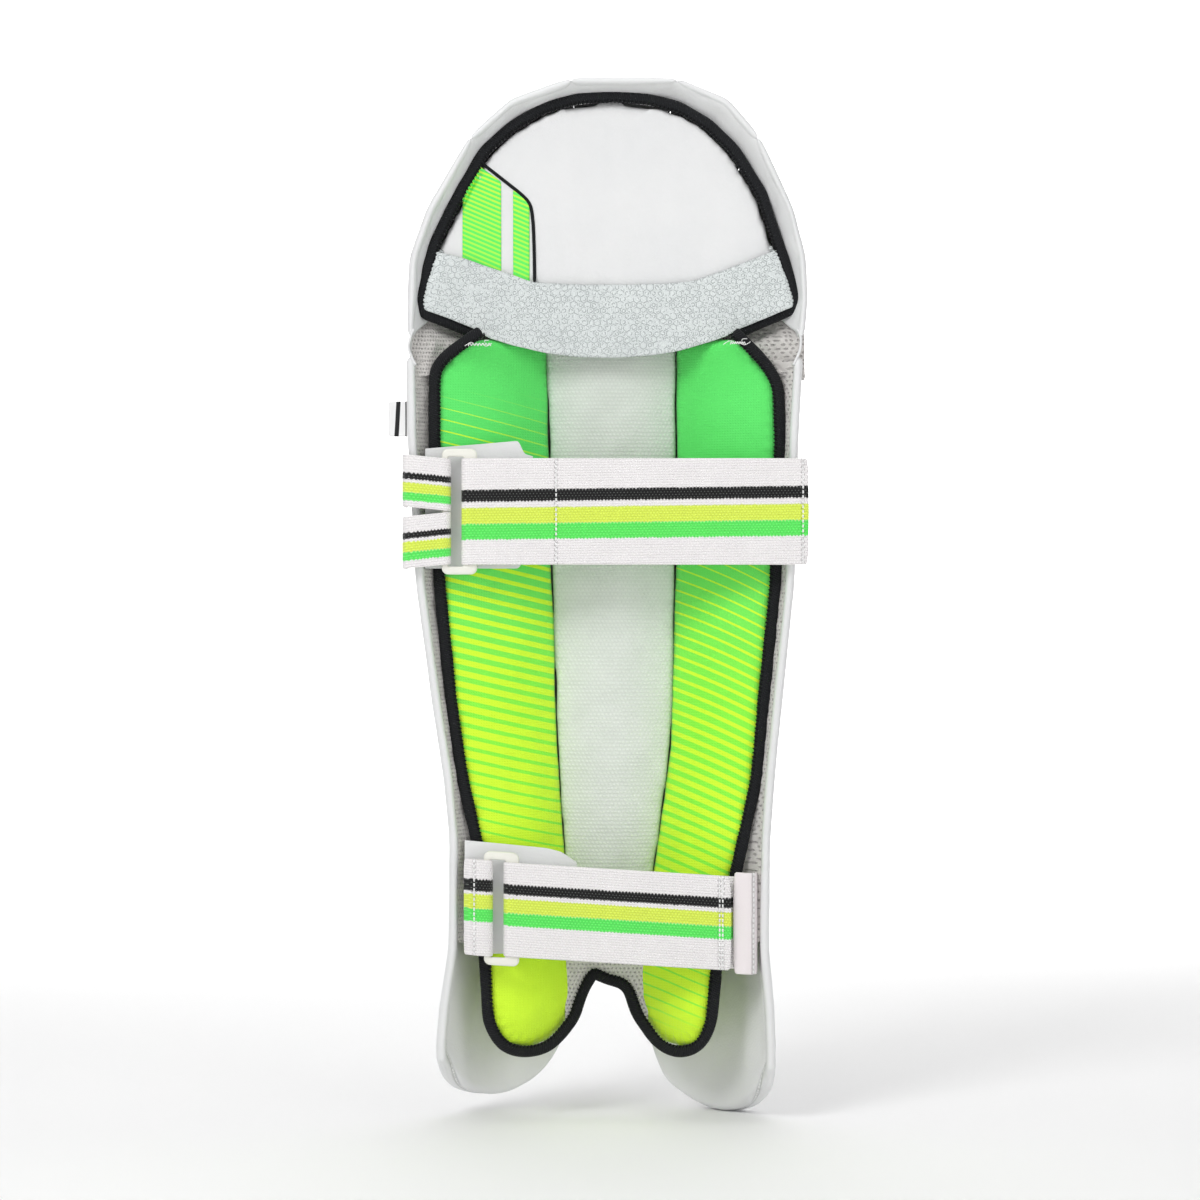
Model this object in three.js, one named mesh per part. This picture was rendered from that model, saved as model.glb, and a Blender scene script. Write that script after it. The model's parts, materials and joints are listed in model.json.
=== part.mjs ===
// A cricket leg pad, standing as it is worn: +Z up, the leg side towards -Y, the strike face towards +Y.
// Millimetres. Inside the file, depth is measured along +Y from the plane of the pad's rims.
import * as THREE from "three";

const { lerp, degToRad } = THREE.MathUtils;

// ---- Driving dimensions ----

const HEIGHT = 690.5; // lowest point of the right instep lobe to the crown of the knee dome
const SHELL_DEPTH = 102; // rim plane to the seams of the front bolsters
const ANKLE_DEPTH = 96;
const TOE_DEPTH = 86;
const FULL_DEPTH_HEIGHT = 160; // above this the shell is at its full depth
const BOLSTER_CROWN = 5; // how far a front bolster stands out of its seams
const FRONT_THICKNESS = 16;
const BACKING_THICKNESS = 3;
const WING_THICKNESS = 4.5; // at the rim, where it is sewn flat
const WING_GROWTH = 4; // more of it towards the front bolsters
const GAP = 0.6; // left between pieces that touch on the real pad

const INSTEP_LINE = 105; // height where the wings end and the instep lobes begin
const SHIN_TOP = 505;
const KNEE_BOTTOM = 519;

const LINER_THICKNESS = 18;
const LINER_EDGE_DEPTH = 12;
const LINER_SEAM_DEPTH = 45;
const LINER_TOP = 508;
const BINDING_WIDTH = 5.8;

const WEBBING = 1.8; // thickness of the elastic webbing
const CALF_WEBBING_WIDTH = 70;
const CALF_STRAP_HEIGHT = 403.3; // height of its centre line
const ANKLE_WEBBING_WIDTH = 62;
const ANKLE_STRAP_HEIGHT = 142; // at the ring
const ANKLE_STRAP_SLOPE = -0.062; // it runs down to the right
const RING_DEPTH = -5; // middle of both strap rings, in front of the rim plane
const RING_THICKNESS = 3;
const TURN_RADIUS = 3.6; // centre line of webbing turned round a ring bar

// Outlines seen from the leg side: [height, left edge, right edge], straight between rows.
const SHELL_OUTLINE = [
  [0, -110, 110],
  [52, -112, 110.5],
  [76, -110, 109.5],
  [116, -104, 106],
  [188, -103.5, 107],
  [228, -107.3, 110],
  [276, -114.7, 114.7],
  [356, -125.5, 123],
  [452, -131, 125.5],
  [SHIN_TOP, -132, 128.5],
  [KNEE_BOTTOM, -133, 131],
];
const LINER_OUTLINE = [
  [44, -70, 63],
  [60, -74.5, 65.5],
  [76, -76, 67],
  [110, -78, 70],
  [180, -82, 85.5],
  [228, -92.8, 96],
  [276, -100, 100.3],
  [356, -108, 108.5],
  [452, -111.3, 111.5],
  [492, -111.5, 108.5],
  [LINER_TOP, -97, 95],
];
const LINER_SEAMS = [
  [44, -34, 34],
  [60, -28.5, 29],
  [76, -20.5, 20],
  [110, -24.5, 20.5],
  [175, -28.5, 33.5],
  [255, -34, 44],
  [440, -38.5, 46.7],
  [LINER_TOP, -41, 46.7],
];
const FLAP_OUTLINE = [
  [500, -117.5, 119],
  [545, -117.5, 119],
  [572, -114, 113.5],
  [604, -103.5, 101],
  [636, -86.5, 86],
  [652, -72.5, 74],
  [666, -51, 56],
  [673.5, -33, 39],
];

const DOME_OUTLINE = [
  [KNEE_BOTTOM, -133, 131],
  [545, -132, 133.2],
  [572, -130.5, 131.5],
  [604, -119, 123.5],
  [652, -91.5, 101],
  [676, -64, 80],
  [HEIGHT, -24, 47],
];
const DOME_CENTRE = new THREE.Vector2(-1, KNEE_BOTTOM); // the dome's facets close in on this point

// ---- Materials ----

const material = (color, roughness, metalness = 0) =>
  new THREE.MeshStandardMaterial({ color, roughness, metalness });

const WHITE_PU = material(0xf2f2f0, 0.45);
const LINING_MESH = material(0xd9d5d2, 0.95);
const FOAM = material(0xe6dfc8, 0.9);
const BACKING_BOARD = material(0x8a8a88, 0.8);
const GREEN_FABRIC = material(0x6fe97c, 0.8);
const CHANNEL_FABRIC = material(0xe2e8dc, 0.75);
const BLACK_TAPE = material(0x26282b, 0.75);
const EMBOSSED_PU = material(0xe9eceb, 0.4);
const PRINT_FILM = material(0x7cf56a, 0.5);
const STRIPED_WEBBING = material(0xf0eeee, 0.85);
const HOOK_TAPE = material(0xe8e8e8, 0.9);
const RING_PLASTIC = material(0xf1efe6, 0.35);
const THREAD = material(0xffffff, 0.7);

// ---- Groups ----

const pad = new THREE.Group();
const knee = new THREE.Group();
const calfStrap = new THREE.Group();
const ankleStrap = new THREE.Group();
pad.add(knee, calfStrap, ankleStrap);

function addPiece(group, name, geometry, finish) {
  const mesh = new THREE.Mesh(geometry, finish);
  mesh.name = name;
  group.add(mesh);
}

// ---- Geometry helpers ----

// The value in a column of an outline at a height.
function valueAt(rows, height, column) {
  const last = rows.length - 1;
  let i = rows.findIndex((row) => row[0] > height) - 1;
  if (i < 0) i = height < rows[0][0] ? 0 : last - 1;
  const share = THREE.MathUtils.clamp((height - rows[i][0]) / (rows[i + 1][0] - rows[i][0]), 0, 1);
  return lerp(rows[i][column], rows[i + 1][column], share);
}

const edgesAt = (rows, height, s) => lerp(valueAt(rows, height, 1), valueAt(rows, height, 2), s);

// A point a share of the way along straight lines through [x, z] corners, by corner count.
function alongCorners(corners, share) {
  const position = share * (corners.length - 1);
  const i = Math.min(Math.floor(position), corners.length - 2);
  const [a, b] = [corners[i], corners[i + 1]];
  return new THREE.Vector2(lerp(a[0], b[0], position - i), lerp(a[1], b[1], position - i));
}

// The height of a line of [x, z] corners, in order of x, at a given x.
function heightOn(corners, x) {
  let i = corners.findIndex((corner) => corner[0] > x) - 1;
  if (i < 0) i = x < corners[0][0] ? 0 : corners.length - 2;
  const [a, b] = [corners[i], corners[i + 1]];
  return lerp(a[1], b[1], (x - a[0]) / (b[0] - a[0]));
}

function signedVolume(positions, indices) {
  const corner = (i) => new THREE.Vector3().fromArray(positions, 3 * indices[i]);
  let six = 0;
  for (let i = 0; i < indices.length; i += 3) {
    six += corner(i).dot(corner(i + 1).cross(corner(i + 2)));
  }
  return six;
}

// A closed bent panel. point(s, t, k) places the grid: s across, t up, k = 0 leg face, k = 1 front face.
function panelGeometry(columns, rows, point) {
  const positions = [];
  const indices = [];
  for (let k = 0; k < 2; k++) {
    for (let j = 0; j <= rows; j++) {
      for (let i = 0; i <= columns; i++) positions.push(...point(i / columns, j / rows, k).toArray());
    }
  }
  const at = (i, j, k) => (k * (rows + 1) + j) * (columns + 1) + i;
  const quad = (a, b, c, d) => indices.push(a, b, c, a, c, d);
  for (let i = 0; i < columns; i++) {
    for (let j = 0; j < rows; j++) {
      quad(at(i, j, 0), at(i + 1, j, 0), at(i + 1, j + 1, 0), at(i, j + 1, 0));
      quad(at(i, j, 1), at(i, j + 1, 1), at(i + 1, j + 1, 1), at(i + 1, j, 1));
    }
    quad(at(i, 0, 0), at(i, 0, 1), at(i + 1, 0, 1), at(i + 1, 0, 0));
    quad(at(i, rows, 0), at(i + 1, rows, 0), at(i + 1, rows, 1), at(i, rows, 1));
  }
  for (let j = 0; j < rows; j++) {
    quad(at(0, j, 0), at(0, j + 1, 0), at(0, j + 1, 1), at(0, j, 1));
    quad(at(columns, j, 0), at(columns, j, 1), at(columns, j + 1, 1), at(columns, j + 1, 0));
  }
  if (signedVolume(positions, indices) < 0) indices.reverse();
  const geometry = new THREE.BufferGeometry();
  geometry.setAttribute("position", new THREE.Float32BufferAttribute(positions, 3));
  geometry.setIndex(indices);
  geometry.computeVertexNormals();
  return geometry;
}

// A polyline moved sideways by a distance, to the left of its direction, with mitred corners.
function offsetLine(points, distance) {
  return points.map((point, i) => {
    const before = points[Math.max(i - 1, 0)];
    const after = points[Math.min(i + 1, points.length - 1)];
    const arriving = (i > 0 ? point.clone().sub(before) : after.clone().sub(point)).normalize();
    const leaving = (i < points.length - 1 ? after.clone().sub(point) : arriving.clone()).normalize();
    const normal = new THREE.Vector2(-arriving.y - leaving.y, arriving.x + leaving.x).normalize();
    const mitre = Math.max(0.5, normal.dot(new THREE.Vector2(-arriving.y, arriving.x)));
    return point.clone().addScaledVector(normal, distance / mitre);
  });
}

// Folded tape sewn over an edge: a band beside a line of [x, z] points, between two depths.
function bindingGeometry(line, side, depthAt, depthBehind) {
  const inner = offsetLine(line, side * GAP);
  const outer = offsetLine(line, side * BINDING_WIDTH);
  return panelGeometry(line.length - 1, 1, (s, t, k) => {
    const i = Math.round(s * (line.length - 1));
    const place = t ? outer[i] : inner[i];
    const front = depthAt(line[i]);
    return new THREE.Vector3(place.x, k ? front + depthBehind : front - 1.5, place.y);
  });
}

// Flat tape: a line of [x, depth] points given a thickness and run up from one height to another.
function tapeGeometry(line, thickness, bottom, top, slope = 0) {
  const points = line.map(([x, depth]) => new THREE.Vector2(x, depth));
  const left = offsetLine(points, thickness / 2);
  const right = offsetLine(points, -thickness / 2);
  const shape = new THREE.Shape([...left, ...right.reverse()]);
  const geometry = new THREE.ExtrudeGeometry(shape, { depth: top - bottom, bevelEnabled: false });
  geometry.translate(0, 0, bottom);
  return geometry.applyMatrix4(new THREE.Matrix4().makeShear(0, slope, 0, 0, 0, 0));
}

// Points on the half turn that webbing makes round a ring bar. side is 1 where the turn bulges to the right.
function turnPoints(barX, side, steps = 8) {
  return Array.from({ length: steps + 1 }, (_, i) => {
    const angle = degToRad(-90 + (180 * i) / steps);
    return [barX + side * TURN_RADIUS * Math.cos(angle), RING_DEPTH + TURN_RADIUS * Math.sin(angle)];
  });
}

// ---- The shell's cross section: a boxy U, a superellipse of power 3 ----

const partner = (share) => Math.cbrt(1 - share ** 3);
const U_CORNER = Math.cbrt(0.5);

// Shares of half width and of depth at a station: 0 on a rim, 0.5 at the U's corner, 1 on the centre line.
function uShares(station) {
  if (station < 0.5) {
    const forward = 2 * station * U_CORNER;
    return { across: partner(forward), forward };
  }
  const across = 2 * (1 - station) * U_CORNER;
  return { across, forward: partner(across) };
}

function shellDepthAt(height) {
  if (height > FULL_DEPTH_HEIGHT) return SHELL_DEPTH;
  if (height < INSTEP_LINE) return lerp(TOE_DEPTH, ANKLE_DEPTH, height / INSTEP_LINE);
  const share = (height - INSTEP_LINE) / (FULL_DEPTH_HEIGHT - INSTEP_LINE);
  return lerp(ANKLE_DEPTH, SHELL_DEPTH, share);
}

// A point on the shin shell. p runs from -1 at the left rim over 0 at the crown to 1 at the right rim.
function shellPoint(p, height, inset) {
  const left = valueAt(SHELL_OUTLINE, height, 1);
  const right = valueAt(SHELL_OUTLINE, height, 2);
  const { across, forward } = uShares(1 - Math.abs(p));
  const x = (left + right) / 2 + Math.sign(p) * ((right - left) / 2 - inset) * across;
  return new THREE.Vector3(x, (shellDepthAt(height) - inset) * forward, height);
}

// ---- Shin shell ----

const FRONT_EDGE = 0.48; // station on the U where the front bolsters meet the wings

const wingInnerInset = (p) => WING_THICKNESS + (WING_GROWTH * (1 - p)) / (1 - FRONT_EDGE);

// A panel on a side of the U between two stations and two heights. insets gives its faces at a station.
function sideGeometry(side, stations, heights, rows, insets) {
  return panelGeometry(5, rows, (s, t, k) => {
    const p = lerp(stations[0], stations[1], s);
    return shellPoint(side * p, lerp(heights[0], heights[1], t), insets(p)[k]);
  });
}

function bolsterGeometry(index, count) {
  const start = lerp(-FRONT_EDGE, FRONT_EDGE, index / count) + 0.003;
  const end = lerp(-FRONT_EDGE, FRONT_EDGE, (index + 1) / count) - 0.003;
  const crown = [3, -BOLSTER_CROWN, -BOLSTER_CROWN, 3]; // inset at the four points across the front face
  return panelGeometry(3, 7, (s, t, k) => {
    const inset = k ? crown[Math.round(3 * s)] : FRONT_THICKNESS;
    return shellPoint(lerp(start, end, s), lerp(INSTEP_LINE + GAP, SHIN_TOP, t), inset);
  });
}

// An instep lobe: the shell below the ankle, with a round lower edge and a slanting edge to the arch.
function lobeGeometry(side, lowest) {
  const bottomAt = (s) => {
    const fromLowest = s < 0.45 ? (0.45 - s) / 0.45 : (s - 0.45) / 0.55;
    return lerp(lowest, 46, 1 - (1 - fromLowest ** 2) ** 0.55);
  };
  return panelGeometry(10, 7, (s, t, k) => {
    const height = lerp(bottomAt(s), INSTEP_LINE - GAP, t);
    const archEdge = lerp(0.21, 0.14, THREE.MathUtils.clamp((height - 46) / 50, 0, 1));
    const inset = k ? 0 : WING_THICKNESS + 7 * Math.min(1, 2 * s);
    return shellPoint(side * lerp(1, archEdge, s), height, inset);
  });
}

function addShell() {
  for (const [side, word] of [[-1, "left"], [1, "right"]]) {
    const whole = [1, FRONT_EDGE + 0.01];
    const wing = sideGeometry(side, whole, [INSTEP_LINE, SHIN_TOP], 10, (p) => [wingInnerInset(p), 0]);
    addPiece(pad, `${word}_wing`, wing, WHITE_PU);
    const nearRim = [0.985, 0.83];
    const lining = (p) => [wingInnerInset(p) + 1.5, wingInnerInset(p) + 0.5];
    const mesh = sideGeometry(side, nearRim, [200, SHIN_TOP - 4], 10, lining);
    addPiece(pad, `${word}_wing_mesh`, mesh, LINING_MESH);
    addPiece(pad, `${word}_instep_lobe`, lobeGeometry(side, side < 0 ? 10 : 0), WHITE_PU);
    const gusset = sideGeometry(side, whole, [SHIN_TOP + GAP, KNEE_BOTTOM - GAP], 2, () => [4, 2]);
    addPiece(pad, `${word}_knee_gusset`, gusset, LINING_MESH);
  }
  const bolsters = 5;
  for (let i = 0; i < bolsters; i++) {
    addPiece(pad, `shin_bolster_${i + 1}`, bolsterGeometry(i, bolsters), WHITE_PU);
  }
  addPiece(
    pad,
    "knee_front_fold",
    panelGeometry(8, 2, (s, t, k) => {
      const height = lerp(SHIN_TOP + GAP, KNEE_BOTTOM - GAP, t);
      return shellPoint(lerp(-FRONT_EDGE, FRONT_EDGE, s), height, k ? 3 : 9);
    }),
    WHITE_PU,
  );
}

function addShellCore() {
  const backingFront = FRONT_THICKNESS + 1;
  const foamFront = backingFront + BACKING_THICKNESS + 1;
  const heightOf = (t) => lerp(INSTEP_LINE + 3, SHIN_TOP - 3, t);
  addPiece(
    pad,
    "shin_backing_board",
    panelGeometry(8, 7, (s, t, k) =>
      shellPoint(lerp(-0.45, 0.45, s), heightOf(t), k ? backingFront : backingFront + BACKING_THICKNESS),
    ),
    BACKING_BOARD,
  );
  addPiece(
    pad,
    "shin_foam_core",
    panelGeometry(8, 7, (s, t, k) => {
      const point = shellPoint(lerp(-0.43, 0.43, s), heightOf(t), foamFront);
      if (!k) point.y = linerDepthAt(point.x, point.z) + LINER_THICKNESS + 3.5;
      return point;
    }),
    FOAM,
  );
}

// ---- Liner ----

// Depth of the liner's leg face before its cushions are crowned: a shallow trough along the shin.
function linerDepthAt(x, height) {
  const edge = valueAt(LINER_OUTLINE, height, x < 0 ? 1 : 2);
  const seam = valueAt(LINER_SEAMS, height, x < 0 ? 1 : 2);
  const share = THREE.MathUtils.clamp((edge - x) / (edge - seam), 0, 1);
  return lerp(LINER_EDGE_DEPTH, LINER_SEAM_DEPTH, share);
}

const LINER_COLUMNS = 6;
const LINER_ROWS = 12;

function linerBolsterPoint(side, s, t) {
  const low = lerp(46, 70, Math.abs(2 * s - 1) ** 4);
  const height = lerp(low, LINER_TOP, t ** 1.3);
  const column = side < 0 ? 1 : 2;
  const edge = valueAt(LINER_OUTLINE, height, column);
  const seam = valueAt(LINER_SEAMS, height, column) + side * GAP;
  return new THREE.Vector2(lerp(edge, seam, s), height);
}

function linerBolsterGeometry(side) {
  return panelGeometry(LINER_COLUMNS, LINER_ROWS, (s, t, k) => {
    const place = linerBolsterPoint(side, s, t);
    const trough = lerp(LINER_EDGE_DEPTH, LINER_SEAM_DEPTH, s);
    const crown = 6 * Math.sin(Math.PI * s);
    return new THREE.Vector3(place.x, k ? trough + LINER_THICKNESS : trough - crown, place.y);
  });
}

function linerChannelGeometry(bottom, top, crownHeight, inset) {
  return panelGeometry(4, 8, (s, t, k) => {
    const height = lerp(bottom, top, t);
    const across = lerp(valueAt(LINER_SEAMS, height, 1) + inset, valueAt(LINER_SEAMS, height, 2) - inset, s);
    const front = LINER_SEAM_DEPTH + 2 - crownHeight * Math.sin(Math.PI * s);
    return new THREE.Vector3(across, k ? LINER_SEAM_DEPTH + LINER_THICKNESS : front, height);
  });
}

// The liner's bound edge: down one side from the waist, round the lobe's end and up to the notch.
function linerEdge(side) {
  const line = [];
  for (let j = LINER_ROWS; j > 0; j--) line.push(linerBolsterPoint(side, 0, j / LINER_ROWS));
  for (let i = 0; i <= LINER_COLUMNS; i++) line.push(linerBolsterPoint(side, i / LINER_COLUMNS, 0));
  const seam = (height) => valueAt(LINER_SEAMS, height, side < 0 ? 1 : 2);
  line.push(new THREE.Vector2(seam(84), 84));
  return line;
}

function addLiner() {
  addPiece(pad, "liner_left_bolster", linerBolsterGeometry(-1), GREEN_FABRIC);
  addPiece(pad, "liner_right_bolster", linerBolsterGeometry(1), GREEN_FABRIC);
  addPiece(pad, "liner_channel", linerChannelGeometry(110, LINER_TOP, 4, GAP), CHANNEL_FABRIC);
  addPiece(pad, "liner_instep_mesh", linerChannelGeometry(104, 109, 0, GAP), LINING_MESH);
  const peak = [new THREE.Vector2(-12, 103), new THREE.Vector2(12, 103)]; // top of the notch
  const line = [...linerEdge(-1), ...peak, ...linerEdge(1).reverse()];
  const depthAt = (point) => linerDepthAt(point.x, point.y);
  addPiece(pad, "liner_binding", bindingGeometry(line, -1, depthAt, LINER_THICKNESS), BLACK_TAPE);
}

// ---- Knee section ----

// A point on the knee dome: rim is on its outline, station runs from 0 at the rim to 1 at the front.
function domePoint(rim, station, inset) {
  const { across, forward } = uShares(station);
  const radius = rim.distanceTo(DOME_CENTRE);
  const place = rim.clone().sub(DOME_CENTRE).multiplyScalar(across * (1 - inset / radius)).add(DOME_CENTRE);
  return new THREE.Vector3(place.x, (SHELL_DEPTH - inset) * forward, place.y);
}

// Depth of the leg face of the knee flap and its band: a shallow bowl for the knee.
function flapDepthAt(x, height) {
  const fromMiddle = (x / 122) ** 2 + ((height - KNEE_BOTTOM) / 171) ** 2;
  return 10 + 12 * Math.max(0, 1 - fromMiddle);
}

const FLAP_THICKNESS = 12;
const BAND_TOP = [[-120, 580], [-48, 555], [55, 555], [120, 579]];
const BAND_BOTTOM = [[-117.5, 534], [-78, 524], [-38.7, 510.5], [40.2, 510.5], [79.6, 524], [119, 534]];

function onFlap(x, height, k, lift = 0, thickness = FLAP_THICKNESS) {
  return new THREE.Vector3(x, flapDepthAt(x, height) - lift + k * thickness, height);
}

const FACET_END = 0.68; // station where the dome's facets meet its front pad
const FACET_THICKNESS = 4; // at the rim
const FACET_GROWTH = 8.5;

// A facet of the dome: its corners on the rim, drawn in towards the flat front pad.
function facetGeometry(corners) {
  const trim = 0.004;
  return panelGeometry((corners.length - 1) * 2, 6, (s, t, k) => {
    const rim = alongCorners(corners, lerp(trim, 1 - trim, s));
    return domePoint(rim, FACET_END * t, k ? 0 : FACET_THICKNESS + FACET_GROWTH * t);
  });
}

// A block of the dome's outline drawn to a smaller size, between two depths.
function domeBlockGeometry(scale, bottom, depths) {
  const outline = DOME_OUTLINE.map(([height, left, right]) => [
    lerp(KNEE_BOTTOM, height, scale),
    lerp(DOME_CENTRE.x, left, scale),
    lerp(DOME_CENTRE.x, right, scale),
  ]);
  return panelGeometry(4, 6, (s, t, k) => {
    const height = lerp(bottom, outline.at(-1)[0], t);
    return new THREE.Vector3(edgesAt(outline, height, s), depths[k], height);
  });
}

function addKneeShell() {
  const leftRim = DOME_OUTLINE.map(([height, left]) => [left, height]);
  const rightRim = DOME_OUTLINE.map(([height, , right]) => [right, height]);
  const shoulder = 4; // the row where the upper facets begin
  const facets = {
    left: leftRim.slice(0, shoulder + 1),
    upper_left: leftRim.slice(shoulder),
    crown: [leftRim.at(-1), rightRim.at(-1)],
    upper_right: rightRim.slice(shoulder).reverse(),
    right: rightRim.slice(0, shoulder + 1).reverse(),
  };
  for (const [word, corners] of Object.entries(facets)) {
    addPiece(knee, `knee_dome_${word}`, facetGeometry(corners), WHITE_PU);
  }
  const face = SHELL_DEPTH + BOLSTER_CROWN; // level with the shin bolsters
  const frontPad = domeBlockGeometry(0.47, KNEE_BOTTOM, [face - FRONT_THICKNESS, face]);
  addPiece(knee, "knee_dome_front", frontPad, WHITE_PU);
  addPiece(knee, "knee_foam_core", domeBlockGeometry(0.68, KNEE_BOTTOM + 4, [38, 70]), FOAM);
}

function addKneeFlap() {
  const top = FLAP_OUTLINE.at(-1)[0];
  const place = (s, height, k) => onFlap(edgesAt(FLAP_OUTLINE, height, s), height, k);
  const acrossAt = (s) => edgesAt(FLAP_OUTLINE, 545, s);
  addPiece(
    knee,
    "knee_flap",
    panelGeometry(12, 8, (s, t, k) => place(s, lerp(heightOn(BAND_TOP, acrossAt(s)) + GAP, top, t), k)),
    WHITE_PU,
  );
  addPiece(
    knee,
    "knee_band",
    panelGeometry(12, 4, (s, t, k) => {
      const x = acrossAt(s);
      return place(s, lerp(heightOn(BAND_BOTTOM, x), heightOn(BAND_TOP, x) - GAP, t), k);
    }),
    EMBOSSED_PU,
  );
  const rows = FLAP_OUTLINE.slice(1);
  const line = [
    [-78, 524],
    [-117.5, 534],
    ...rows.map(([height, left]) => [left, height]),
    ...rows.toReversed().map(([height, , right]) => [right, height]),
    [119, 534],
    [79.6, 524],
  ].map(([x, z]) => new THREE.Vector2(x, z));
  const binding = bindingGeometry(line, 1, (point) => flapDepthAt(point.x, point.y), FLAP_THICKNESS);
  addPiece(knee, "knee_flap_binding", binding, BLACK_TAPE);
}

// Printed film on the left of the flap, and the piping that frames it.
function addKneeTrim() {
  const diagonal = [[-120, 662], [-50.5, 609.5]];
  const film = (left, right, shoulder) =>
    panelGeometry(3, 4, (s, t, k) => {
      const x = lerp(left, right, s);
      const upper = Math.min(heightOn(diagonal, x) - 2, shoulder + 1.7 * (x - left));
      return onFlap(x, lerp(heightOn(BAND_TOP, x) + 1.5, upper, t), k, 2, 0.8);
    });
  addPiece(knee, "knee_print_outer", film(-95.3, -70.5, 612), PRINT_FILM);
  addPiece(knee, "knee_print_inner", film(-62, -52, 640), PRINT_FILM);
  const line = [[-84.5, 635], [-50, 609], [-48.8, 583], [-48.2, 557]].map(([x, z]) => new THREE.Vector2(x, z));
  const width = 2;
  const outer = offsetLine(line, width / 2);
  const inner = offsetLine(line, -width / 2);
  addPiece(
    knee,
    "knee_piping",
    panelGeometry(3, 1, (s, t, k) => {
      const point = (t ? outer : inner)[Math.round(3 * s)];
      return onFlap(point.x, point.y, k, 2.6, 1.4);
    }),
    BLACK_TAPE,
  );
}

// ---- Straps ----

// A moulded ring lying in the strap's plane: two bars with a slot between them for the webbing.
function ringGeometry(leftBarX, slotHeight, middle, slope) {
  const left = leftBarX - 2;
  const slotLeft = leftBarX + 2;
  const slotRight = slotLeft + 10.6;
  const right = slotRight + 9;
  const rim = 4.5;
  const box = (x0, x1, z0, z1) => [
    new THREE.Vector2(x0, z0),
    new THREE.Vector2(x1, z0),
    new THREE.Vector2(x1, z1),
    new THREE.Vector2(x0, z1),
  ];
  const half = slotHeight / 2;
  const corner = 3;
  const shape = new THREE.Shape([
    new THREE.Vector2(left + corner, -half - rim),
    new THREE.Vector2(right - corner, -half - rim),
    new THREE.Vector2(right, -half - rim + corner),
    new THREE.Vector2(right, half + rim - corner),
    new THREE.Vector2(right - corner, half + rim),
    new THREE.Vector2(left + corner, half + rim),
    new THREE.Vector2(left, half + rim - corner),
    new THREE.Vector2(left, -half - rim + corner),
  ]);
  shape.holes.push(new THREE.Path(box(slotLeft, slotRight, -half, half)));
  const geometry = new THREE.ExtrudeGeometry(shape, { depth: RING_THICKNESS, bevelEnabled: false });
  geometry.rotateX(Math.PI / 2);
  geometry.translate(0, RING_DEPTH + RING_THICKNESS / 2, middle);
  return geometry.applyMatrix4(new THREE.Matrix4().makeShear(0, slope, 0, 0, 0, 0));
}

const FRONT_LAYER = RING_DEPTH - TURN_RADIUS; // depth of the webbing in front of a ring
const BACK_LAYER = RING_DEPTH + TURN_RADIUS; // and behind it

// One strap: its base layer, the turn through the ring, the free tail, and the hook-and-loop between them.
function addStrap({ group, name, leftBarX, middle, width, slope, baseEnd, tailEnd, loop, hook }) {
  const bottom = middle - width / 2;
  const top = middle + width / 2;
  const turnX = leftBarX + 14.4;
  const turn = turnPoints(turnX, -1);
  const tape = (line, thickness = WEBBING, trim = 0) =>
    tapeGeometry(line, thickness, bottom + trim, top - trim, slope);
  addPiece(group, `${name}_ring`, ringGeometry(leftBarX, width + 2, middle, slope), RING_PLASTIC);
  const turnLine = [[turnX + 2.5, FRONT_LAYER], ...turn, [turnX + 2.5, BACK_LAYER]];
  addPiece(group, `${name}_strap_turn`, tape(turnLine), STRIPED_WEBBING);
  addPiece(group, `${name}_strap_base`, tape([[turnX + 4, BACK_LAYER], ...baseEnd]), STRIPED_WEBBING);
  addPiece(group, `${name}_strap_tail`, tape([[turnX + 5, FRONT_LAYER], [tailEnd, FRONT_LAYER]]), STRIPED_WEBBING);
  const hookDepth = FRONT_LAYER + WEBBING / 2 + 1.2;
  const loopDepth = BACK_LAYER - WEBBING / 2 - 1.2;
  addPiece(group, `${name}_hook_tape`, tape([[hook[0], hookDepth], [hook[1], hookDepth]], 1.4, 4), HOOK_TAPE);
  addPiece(group, `${name}_loop_tape`, tape([[loop[0], loopDepth], [loop[1], loopDepth]], 1.4, 3), HOOK_TAPE);
}

function addCalfStrap() {
  const leftBarX = -106.8;
  addStrap({
    group: calfStrap,
    name: "calf",
    leftBarX,
    middle: CALF_STRAP_HEIGHT,
    width: CALF_WEBBING_WIDTH,
    slope: 0,
    baseEnd: [[125.8, BACK_LAYER], [129, 0.8], [129.7, 5], [129.7, 32]],
    tailEnd: 132,
    loop: [-60, 116],
    hook: [-32, 128],
  });
  // Two narrow tails hold the ring to the outside of the left wing, spreading apart towards it.
  const line = [
    [-134.6, 28],
    [-134.6, -2],
    [-132.4, -6.2],
    [-127, FRONT_LAYER],
    ...turnPoints(leftBarX, 1),
    [-124, BACK_LAYER],
  ];
  const half = CALF_WEBBING_WIDTH / 2;
  const spread = 0.1;
  for (const [word, side] of [["lower", -1], ["upper", 1]]) {
    const edges = [CALF_STRAP_HEIGHT + side * GAP, CALF_STRAP_HEIGHT + side * half].sort((a, b) => a - b);
    const geometry = tapeGeometry(line, WEBBING, edges[0], edges[1], -side * spread);
    geometry.translate(0, 0, side * spread * leftBarX);
    addPiece(calfStrap, `calf_anchor_${word}`, geometry, STRIPED_WEBBING);
  }
  const patch = panelGeometry(2, 1, (s, t, k) => {
    const x = lerp(-119, -50, s);
    return new THREE.Vector3(x, 1 + 1.4 * k, t ? lerp(447, 451, s) : 366);
  });
  addPiece(calfStrap, "calf_anchor_patch", patch, WHITE_PU);
}

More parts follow.
